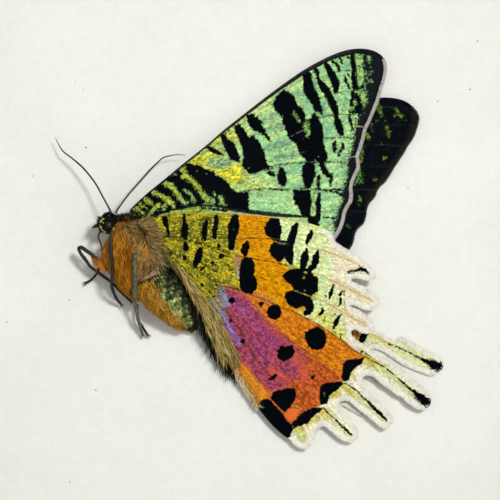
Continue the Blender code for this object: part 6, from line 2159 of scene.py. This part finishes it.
LIMBS: Sequence[Limb] = (
    Limb(
        "antenna_left",
        triples(
            -20.75, 5.55, 4.6, -21, 6.2, 4.5, -22, 8, 4.1, -23, 9.8, 3.7, -24, 11.15, 3.4, -25, 12.3, 3.1,
            -26, 13.2, 2.8, -27, 14, 2.5, -28, 14.75, 2.2, -28.6, 15.6, 2, -29.3, 16.9, 1.7,
        ),
        pairs(0, 0.17, 0.1, 0.13, 0.55, 0.14, 0.85, 0.1, 1, 0.04), FEELER_CHITIN, Slot.CHITIN, 51, ring_step=0.34,
    ),
    Limb(
        "antenna_right",
        triples(
            -20.1, 5.5, 3.6, -19.7, 6.2, 3.5, -19, 7.2, 3.3, -18, 8.55, 3, -17, 9.7, 2.8, -16, 10.85, 2.6,
            -15, 12, 2.5, -14, 13, 2.4, -13.1, 13.8, 2.3, -12, 14.15, 2.3, -11, 14.3, 2.3, -9.7, 14.25, 2.3,
        ),
        pairs(0, 0.16, 0.1, 0.12, 0.55, 0.13, 0.8, 0.1, 1, 0.04), FEELER_CHITIN, Slot.CHITIN, 52, ring_step=0.34,
    ),
    Limb(
        "proboscis",
        triples(
            -22.15, 3.1, 3.8, -22.5, 2.5, 3.8, -22.65, 2.1, 3.8, -22.6, 1.6, 3.8, -22.35, 1.1, 3.8, -22.2, 0.5, 3.7,
            -22.2, -0.2, 3.6,
        ),
        pairs(0, 0.17, 0.6, 0.14, 1, 0.08), TONGUE_CHITIN, Slot.CHITIN, 53, ring_step=0.2,
    ),
    Limb(
        "foreleg_left",
        triples(
            -20.6, 2.6, 6.6, -20.6, 0, 6.8, -20.45, -1.6, 6.5, -20.4, -3, 6, -20.5, -4.2, 5.3, -20.65, -5.2, 4.4,
            -20.4, -6.4, 3.2, -20, -7.4, 2, -19.4, -8.25, 1,
        ),
        pairs(0, 0.2, 0.08, 0.31, 0.38, 0.26, 0.42, 0.3, 0.66, 0.22, 0.7, 0.27, 0.8, 0.2, 0.84, 0.25, 1, 0.17),
        DARK_CHITIN, Slot.CHITIN, 54, 260, claw=True,
    ),
    Limb(
        "foreleg_right",
        triples(
            -22.7, -1.45, 3.8, -23.6, -0.7, 3.8, -24.6, 0, 3.7, -25.25, 0.4, 3.6, -25.6, 0.2, 3.4, -25.35, -0.5, 3.2,
            -24.6, -1.5, 3, -23.9, -2.5, 2.8, -22.8, -3.35, 2.6, -21.5, -4.3, 2.5, -20.7, -4.95, 2.4,
            -19.6, -6.1, 2.1, -18.6, -7.1, 1.6, -17.9, -7.8, 1.1,
        ),
        pairs(0, 0.26, 0.18, 0.3, 0.28, 0.24, 0.33, 0.28, 0.5, 0.2, 0.55, 0.26, 0.75, 0.2, 1, 0.17), DARK_CHITIN,
        Slot.CHITIN, 55, 260, claw=True,
    ),
    Limb(
        "midleg_left",
        triples(
            -16.9, -0.3, 7.5, -17.05, -2, 7.3, -17, -4, 6.9, -17.05, -6, 5.6, -17.1, -7.6, 4.4, -17, -9, 3.4,
            -16.8, -10.3, 2.7, -16.5, -11.5, 1.8, -16.2, -12.9, 0.8,
        ),
        pairs(0, 0.24, 0.1, 0.34, 0.42, 0.33, 0.48, 0.36, 0.55, 0.25, 0.74, 0.22, 0.78, 0.28, 1, 0.17), GREEN_LEG,
        Slot.CHITIN, 56, 420, bristle_tones=(tone(36, 36, 32), tone(150, 150, 112)), claw=True,
    ),
    Limb(
        "midleg_right",
        triples(
            -22.1, -2.3, 1.9, -22.7, -2.8, 1.8, -22.95, -3.35, 1.7, -23.4, -4, 1.5, -24, -4.55, 1.2,
            -24.75, -4.95, 0.8,
        ),
        pairs(0, 0.2, 0.3, 0.2, 0.5, 0.16, 0.9, 0.17, 1, 0.2), DARK_CHITIN, Slot.CHITIN, 57, 90, claw=True,
    ),
    Limb(
        "hindleg_left", triples(-16.1, -4.5, 6.6, -15.4, -4.1, 6.7, -14.6, -3.75, 6.6, -13.6, -3.3, 6.3),
        pairs(0, 0.2, 0.2, 0.27, 0.7, 0.24, 1, 0.18), TAN_CHITIN, Slot.TAN_CHITIN, 58, 120,
        bristle_tones=(tone(130, 106, 76), tone(190, 164, 128)),
    ),
    Limb(
        "hindleg_right",
        triples(
            -16.9, -8.2, 1.6, -16.95, -9.2, 1.8, -16.75, -10.5, 1.6, -16.3, -11.4, 1.3, -15.9, -12.1, 1,
            -15.4, -12.85, 0.7,
        ),
        pairs(0, 0.18, 0.5, 0.17, 0.7, 0.2, 1, 0.15), DARK_CHITIN, Slot.CHITIN, 59, 100, claw=True,
    ),
)


@dataclass
class LooseHair:
    """Hair that grows from a strip between two edges: the wing's inner margin and tufts at its root."""

    name: str
    one_edge: Sequence[Pair]
    other_edge: Sequence[Pair]
    count: int
    aims: Sequence[Pair]
    lengths: Pair
    widths: Pair
    tones: Sequence[Colour]
    zone: Pair
    lift: Lift
    slot: Slot
    seed: int
    spread: float = 0.16
    start: float = 0.03
    rise: float = 0.25
    curl: float = 0.2
    clump: float = 0.5

    def build(self) -> None:
        """Builds the hair."""
        coat = BladeCoat(self.name, self.seed, steps=5)
        random = coat.random
        share = random.uniform(0, 1, self.count)
        depth = random.uniform(0, 1, (self.count, 1))
        roots = self._along(self.one_edge, share) * depth + self._along(self.other_edge, share) * (1 - depth)
        aims = unit(self._along(self.aims, share))
        side = left_of(aims)
        across_lie = (roots * side).sum(axis=1)
        clumps = 0.5 * ripple(roots[:, 0] * 2.6, roots[:, 1] * 2.6, float(self.seed))
        clumps = clumps + 0.7 * ripple(across_lie * 5.5, roots[:, 1] * 0.4, self.seed + 0.5)
        turned = random.normal(0, self.spread, self.count) + self.spread * 0.8 * clumps
        aims = unit(aims + side * turned[:, None])
        zone = np.clip(
            random.normal(self.zone[0], self.zone[1], self.count) + self.clump * clumps, 0, len(self.tones) - 1,
        )
        coat.grow(
            roots, aims, random.uniform(*self.lengths, self.count), random.uniform(*self.widths, self.count),
            self.lift, zone, self.curl, self.rise, self.start,
        )
        finish = BladeFinish(f"{self.name}_tone", self.tones, 0.6, 0.6, 0.6, 0.05)
        coat.build(finish.material(), self.slot, (0.7, 1.0, 0.8, 0.5, 0.08))

    @staticmethod
    def _along(points: Sequence[Pair], share: np.ndarray) -> np.ndarray:
        """The points of a path at shares of its length."""
        given = np.array(points, float)
        steps = np.append(0.0, np.cumsum(np.linalg.norm(np.diff(given, axis=0), axis=1)))
        if len(given) == 1 or steps[-1] == 0:
            return np.broadcast_to(given[0], (len(share), 2)).copy()
        return np.stack([np.interp(share * steps[-1], steps, given[:, k]) for k in range(2)], axis=1)


def under_left_lift(across: np.ndarray, up: np.ndarray) -> np.ndarray:
    """A little below the left hindwing, for hair that hangs behind it."""
    return hindwing_left_lift(across, up) - 0.9


LOOSE_HAIR: Sequence[LooseHair] = (
    # Black hair under the hindwing's inner margin: real dark hair towards the tails, and towards the abdomen dark
    # hair laid as painted shade between abdomen and wing.
    LooseHair(
        "margin_hair_black_and_shade", pairs(-10.4, -4, -9, -7.4, -7.5, -11, -6.3, -13.8, -5, -16, -3.4, -18.4),
        pairs(-10, -3.4, -7.4, -7, -5.4, -11, -3.8, -14, -2.6, -16.2, -1.4, -18.2), 1900,
        pairs(0.42, -0.9, 0.36, -0.93, 0.22, -0.97, 0.12, -0.99, 0.2, -0.98, 0.32, -0.95, 0.5, -0.87), (1.6, 3.0),
        (0.07, 0.13), (tone(16, 15, 15), tone(52, 46, 38)), (0.3, 0.3), under_left_lift, Slot.FUR, 61, rise=0.1,
    ),
    LooseHair(
        "margin_hair_tan", pairs(-11.1, -2.3, -9.8, -4.4, -8.5, -6.8, -7.4, -9.2, -6.4, -11.6, -5.2, -13.8),
        pairs(-10.8, -2.2, -9, -3.9, -7.4, -6.2, -5.6, -8.6, -4.2, -10.8, -3.1, -13.2, -2.4, -14.6), 2600,
        pairs(0.54, -0.84, 0.5, -0.87, 0.44, -0.9, 0.38, -0.92, 0.34, -0.94, 0.34, -0.94), (2.2, 4.4), (0.07, 0.14),
        (tone(236, 212, 138), tone(166, 140, 72), tone(82, 66, 34), tone(22, 18, 13)), (1.25, 1.0),
        hindwing_left_lift, Slot.FUR, 62, spread=0.055, curl=0.09, clump=1.15,
    ),
    LooseHair(
        "margin_hair_cream", pairs(-2.6, -17.4, -1.4, -19.6, -0.3, -21.4, 0.7, -23),
        pairs(-2.1, -17.2, -0.9, -19.6, 0.2, -21.4, 1.2, -22.8), 620, pairs(0.2, -0.98, 0.3, -0.95, 0.42, -0.9),
        (0.8, 1.6), (0.07, 0.12), (tone(236, 222, 184), tone(202, 178, 124), tone(126, 104, 66)), (0.5, 0.5),
        hindwing_left_lift, Slot.FUR, 63, start=-0.1, rise=0.12,
    ),
    LooseHair(
        "hinge_hair", pairs(-16.8, 4.2, -15.6, 2.6, -15.2, 0.8, -15.2, -0.8, -14.6, -2.2),
        pairs(-15.6, 4.4, -14.8, 2.8, -14.4, 1.2, -14.2, -0.4, -13.6, -1.8), 820,
        pairs(0.8, 0.3, 0.9, -0.3, 0.8, -0.6, 0.7, -0.75, 0.62, -0.8), (0.8, 2.5), (0.05, 0.09),
        (tone(206, 176, 122), tone(134, 104, 58), tone(64, 48, 28)), (1.15, 0.8), level(6.1), Slot.FUR, 64,
        spread=0.32, rise=0.2,
    ),
    LooseHair(
        "neck_fur", pairs(-19.6, 4.8, -18.8, 5, -17.8, 5.2, -16.8, 5),
        pairs(-19, 4.2, -18.4, 4, -17.6, 3.8, -16.6, 3.6), 1100, pairs(0.2, -0.98, 0.45, -0.9, 0.7, -0.7, 0.85, -0.5),
        (0.9, 1.9), (0.06, 0.12), (tone(222, 192, 138), tone(166, 134, 80), tone(120, 90, 48), tone(52, 37, 22)),
        (1.4, 0.7), level(4.7), Slot.FUR, 67, spread=0.26, rise=0.6, start=-0.6,
    ),
    LooseHair(
        "neck_rust", pairs(-20.5, 4.4, -19.6, 4.8, -18.8, 5), pairs(-20.3, 3, -19.4, 3.6, -18.6, 4), 900,
        pairs(0.05, -1, 0.25, -0.96, 0.45, -0.9), (0.8, 1.7), (0.06, 0.12),
        (tone(226, 154, 64), tone(172, 110, 38), tone(116, 76, 30), tone(48, 32, 16)), (1.4, 0.7), level(4.9),
        Slot.FUR, 68, spread=0.24, rise=0.5, start=-0.6,
    ),
    LooseHair(
        "face_tuft", pairs(-22.3, 4.9, -22.5, 4.2, -22.4, 3.4, -22, 2.9),
        pairs(-21.9, 4.7, -22.1, 4.1, -22, 3.5, -21.7, 3.1), 420,
        pairs(-0.75, 0.3, -0.95, -0.3, -0.85, -0.5, -0.4, -0.9), (0.3, 0.65), (0.05, 0.1),
        (tone(12, 13, 12), tone(34, 40, 24), tone(150, 160, 84)), (0.4, 0.55), level(4.3), Slot.BLACK_SCALES, 69,
        spread=0.3,
    ),
    LooseHair(
        "crown_tuft", pairs(-21.7, 5.2, -21, 5.4, -20.4, 5.1), pairs(-21.5, 4.8, -20.9, 5, -20.2, 4.7), 360,
        pairs(-0.2, 0.9, 0.2, 0.95, 0.6, 0.75), (0.25, 0.55), (0.05, 0.1), (tone(10, 11, 12), tone(30, 34, 24)),
        (0.4, 0.5), level(4.6), Slot.BLACK_SCALES, 70, spread=0.35,
    ),
    LooseHair(
        "collar_tuft", pairs(-20.3, 4.7, -19.2, 4.9, -18, 5.1, -17.2, 5.4),
        pairs(-19.8, 4.2, -18.8, 4.4, -17.6, 4.6, -16.9, 4.9), 1000, pairs(0.2, 0.9, 0.5, 0.7, 0.8, 0.4, 0.9, 0.2),
        (0.4, 0.9), (0.06, 0.13), (tone(10, 10, 11), tone(34, 38, 22), tone(168, 176, 66)), (0.4, 0.6), level(5.4),
        Slot.BLACK_SCALES, 65, spread=0.4,
    ),
    LooseHair(
        "foreleg_femur_hair", pairs(-22.2, -1.2, -22.9, -1.2, -23.9, -0.7), pairs(-22, -2.4, -22.9, -1.8, -23.7, -1),
        1000, pairs(0.75, -0.66, 0.7, -0.7, 0.72, -0.7), (0.8, 1.8), (0.06, 0.11),
        (tone(226, 150, 56), tone(186, 108, 26), tone(112, 60, 16)), (0.8, 0.5), level(3.75), Slot.FUR, 66,
        spread=0.2,
    ),
)


@dataclass
class PaperDust:
    """A few tiny grey flecks on the paper."""

    places: Sequence[Triple] = triples(
        -24.8, 15.5, 0.16, 34.4, 31.6, 0.12, 33.3, 24.3, 0.14, 28.4, 22.5, 0.1, 23.9, 9.5, 0.1, -23.3, -21.2, 0.12,
        -27.3, -7.6, 0.12, -36.8, -10.9, 0.12, -27.2, -35, 0.12, -25.2, 24.2, 0.09, -26.4, 25.4, 0.09,
        -32.8, 11.2, 0.1,
    )

    def build(self) -> None:
        """Builds the flecks as flat crumbs."""
        random = np.random.default_rng(71)
        points, faces = [], []
        for across, up, size in self.places:
            turn = np.arange(8) * math.pi / 4
            ring = size * random.uniform(0.6, 1.2, 8)
            first = sum(len(block) for block in points)
            rings = [
                to_row(across + ring * wide * np.cos(turn), up + ring * wide * np.sin(turn), np.full(8, high))
                for wide, high in ((1.0, 0.01), (1.0, 0.05), (0.5, 0.09))
            ]
            block, sides = closed_rings(np.stack(rings))
            points.append(block)
            faces.append(sides + first)
        finish = SkinFinish("dust_grey", tone(160, 158, 158), tone(110, 108, 110), 6.0, 0.9, 0.1)
        mesh_object("paper_dust", np.vstack(points), np.vstack(faces), finish.material())


def build_body() -> None:
    """Builds the body, its limbs and its loose hair."""
    Thorax().build()
    Abdomen().build()
    Head().build()
    for limb in LIMBS:
        limb.build()
    for hair in LOOSE_HAIR:
        hair.build()
    PaperDust().build()


# Frame and studio


@dataclass
class BoxFrame:
    """The frame around the specimen: its own solids with worked finishes and softened edges."""

    rails: Sequence[str] = ("frame_rail_bottom", "frame_rail_top", "frame_rail_left", "frame_rail_right")
    spacers: Sequence[str] = ("spacer_bottom", "spacer_top", "spacer_left", "spacer_right")
    metal: Sequence[str] = ("hanger", "hanger_nail_left", "hanger_nail_right")
    tabs: int = 8
    bevel: float = 0.25
    sheet_bevel: float = 0.1
    board_bevel: float = 0.12
    metal_bevel: float = 0.06

    def build(self, nodes: dict[str, bpy.types.Object]) -> None:
        """Dresses the frame's solids.

        Args:
            nodes: the loaded solids by name.
        """
        level = WoodFinish("stained_rail_level", (0.12, 1.6, 1.6)).material()
        upright = WoodFinish("stained_rail_upright", (1.6, 1.6, 0.12)).material()
        for name in self.rails:
            self._dress(nodes[name], level if name.endswith(("bottom", "top")) else upright, self.bevel)
        card = SheetFinish("spacer_card", (0.8, 0.795, 0.775), (0.72, 0.71, 0.685), (2.0, 2.0, 2.0), 0.88).material()
        for name in self.spacers:
            self._dress(nodes[name], card, self.sheet_bevel)
        self._dress(nodes["mount_paper"], PaperFinish().material(), self.sheet_bevel)
        board = SheetFinish("pressed_board", (0.3, 0.18, 0.1), (0.19, 0.11, 0.06), (1.3, 1.3, 1.3), 0.8, 0.0, 0.0002)
        self._dress(nodes["backing_board"], board.material(), self.board_bevel)
        zinc = SheetFinish(
            "zinc_sheet", (0.62, 0.62, 0.61), (0.42, 0.42, 0.42), (0.5, 3.0, 4.0), 0.42, 0.9,
        ).material()
        for name in (*self.metal, *(f"holding_tab_{index + 1}" for index in range(self.tabs))):
            self._dress(nodes[name], zinc, self.metal_bevel)
        self._dress(nodes["glass_pane"], GlassFinish().material())

    @staticmethod
    def _dress(part: bpy.types.Object, material: bpy.types.Material, bevel: float = 0.0) -> None:
        """Gives one solid its finish and a softened edge."""
        part.data.materials.clear()
        part.data.materials.append(material)
        if bevel:
            edge = part.modifiers.new("edge", "BEVEL")
            edge.width = bevel * MM
            edge.segments = 2
            edge.limit_method = "ANGLE"
            edge.angle_limit = math.radians(40)
        LOG.info("%s dressed", part.name)


@dataclass
class Studio:
    """Soft light, a pale floor and the camera."""

    lens: float = 150.0
    sensor: float = 36.0
    distance: float = 312.5
    view_lift: float = 2.5
    light_offset: Triple = (0.35, -0.88, 0.325)
    light_size: float = 0.18
    light_power: float = 7.5
    fill: float = 0.51

    def build(self) -> None:
        """Builds the studio."""
        scene = bpy.context.scene
        target = Vector((0.0, PAPER_FACE_Y * MM, PAPER_CENTRE_Z * MM))
        lamp = bpy.data.lights.new("window_light", "AREA")
        lamp.shape = "DISK"
        lamp.size = self.light_size
        lamp.energy = self.light_power
        lamp.color = (1.0, 0.985, 0.955)
        light = bpy.data.objects.new("window_light", lamp)
        light.location = target + Vector(self.light_offset)
        light.rotation_euler = (target - light.location).to_track_quat("-Z", "Y").to_euler()
        scene.collection.objects.link(light)

        world = bpy.data.worlds.new("soft_room")
        world.use_nodes = True
        world.node_tree.nodes["Background"].inputs["Color"].default_value = (0.98, 0.99, 1.0, 1.0)
        world.node_tree.nodes["Background"].inputs["Strength"].default_value = self.fill
        scene.world = world

        self._floor()
        view = bpy.data.cameras.new("view")
        view.type = "PERSP"
        view.lens = self.lens
        view.sensor_width = self.sensor
        view.clip_start = 0.01
        camera = bpy.data.objects.new("view", view)
        camera.location = Vector((0.0, PAPER_FACE_Y - self.view_lift - self.distance, PAPER_CENTRE_Z)) * MM
        camera.rotation_euler = (math.pi / 2, 0.0, 0.0)
        scene.collection.objects.link(camera)
        scene.camera = camera
        scene.view_settings.view_transform = "Standard"
        scene.view_settings.look = "None"
        LOG.info("studio built")

    @staticmethod
    def _floor() -> None:
        """Builds the plain pale floor."""
        graph = Graph("studio_floor")
        tint = graph.noise(graph.place(), 0.01, 2.0)
        colour = graph.mix(tint, (0.62, 0.62, 0.61), (0.66, 0.66, 0.65))
        graph.surface({"Base Color": colour, "Roughness": 0.9})
        mesh = bpy.data.meshes.new("studio_floor")
        half = 1.5
        mesh.from_pydata([(-half, -half, 0), (half, -half, 0), (half, half, 0), (-half, half, 0)], [], [(0, 1, 2, 3)])
        mesh.materials.append(graph.material)
        floor = bpy.data.objects.new("studio_floor", mesh)
        bpy.context.scene.collection.objects.link(floor)


# The whole scene

LEFT_FOREWING = WingSheet(
    "forewing_left", FOREWING_LEFT_OUTLINE, forewing_left_lift,
    WingFinish("forewing_left_scales", tone(184, 222, 140), tone(128, 184, 142), tone(200, 222, 122), 0.1, 0.8),
    Slot.FOREWING, FOREWING_LEFT_MARKS, FOREWING_LEFT_ZONES, fan_centre=(-32.0, 2.0),
)
LEFT_HINDWING = WingSheet(
    "hindwing_left", (*HINDWING_LEFT_TOP, *HINDWING_LEFT_MARGIN, *HINDWING_LEFT_INNER), hindwing_left_lift,
    WingFinish(
        "hindwing_left_scales", tone(208, 186, 24), tone(62, 72, 20), tone(228, 212, 60), 0.2, 0.62, mosaic=0.06,
        soft=0.04,
    ),
    Slot.HINDWING, HINDWING_LEFT_MARKS, HINDWING_LEFT_ZONES,
)
RIGHT_FOREWING = WingSheet(
    "forewing_right", FOREWING_RIGHT_OUTLINE, forewing_right_lift,
    WingFinish(
        "forewing_right_scales", tone(2, 6, 11), tone(5, 9, 15), tone(16, 26, 24), 0.05, specular=0.02, dusting=0.0,
    ),
    Slot.BLACK_WING, FOREWING_RIGHT_MARKS, spacing=0.26,
)
RIGHT_HINDWING = WingSheet(
    "hindwing_right", HINDWING_RIGHT_OUTLINE, hindwing_right_lift,
    WingFinish("hindwing_right_scales", tone(224, 224, 184), tone(208, 212, 158), tone(230, 222, 176)), Slot.HINDWING,
    HINDWING_RIGHT_MARKS, HINDWING_RIGHT_ZONES, spacing=0.22,
)
WHITE_FRINGE = BladeFinish("white_fringe", (tone(247, 244, 234), tone(214, 206, 190)), 0.9, 0.14, 0.7, 0.1)
GREY_FRINGE = BladeFinish("grey_fringe", (tone(206, 200, 196), tone(120, 108, 104)), 0.85, 0.25, 0.7, 0.1)
DARK_FRINGE = BladeFinish("dark_fringe", (tone(24, 26, 30), tone(96, 88, 80)), 0.7, 0.5, 0.7, 0.15)


def build_wings() -> None:
    """Builds the four wings and their fringes."""
    for sheet in (RIGHT_HINDWING, RIGHT_FOREWING, LEFT_FOREWING, LEFT_HINDWING):
        sheet.build()
    Fringe(
        "hindwing_left_fringe", HINDWING_LEFT_MARGIN, hindwing_left_lift, Slot.HINDWING, WHITE_FRINGE, 11, zones=2,
        bare=TAIL_TIPS_LEFT,
    ).build()
    Fringe(
        "hindwing_right_fringe", HINDWING_RIGHT_OUTLINE[HINDWING_RIGHT_FRINGED], hindwing_right_lift, Slot.HINDWING,
        WHITE_FRINGE, 12, zones=2, bare=TAIL_TIPS_RIGHT,
    ).build()
    Fringe(
        "forewing_left_fringe", FOREWING_LEFT_OUTLINE[FOREWING_LEFT_FRINGED], forewing_left_lift, Slot.FOREWING,
        GREY_FRINGE, 13, inset=0.4, length=0.48, width=0.07, density=22.0, rows=(0.0, 0.2), zones=2,
    ).build()
    Fringe(
        "forewing_right_fringe", FOREWING_RIGHT_OUTLINE[FOREWING_RIGHT_FRINGED], forewing_right_lift,
        Slot.BLACK_WING, DARK_FRINGE, 14, inset=0.25, length=0.36, width=0.06, density=18.0, rows=(0.0, 0.1), zones=2,
    ).build()


def main() -> None:
    """Builds the whole scene."""
    logging.basicConfig(level=logging.INFO, format="%(message)s")
    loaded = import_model()
    nodes = loaded["nodes"]
    BoxFrame().build(nodes)
    build_wings()
    build_body()
    Studio().build()


if __name__ == "__main__":
    main()
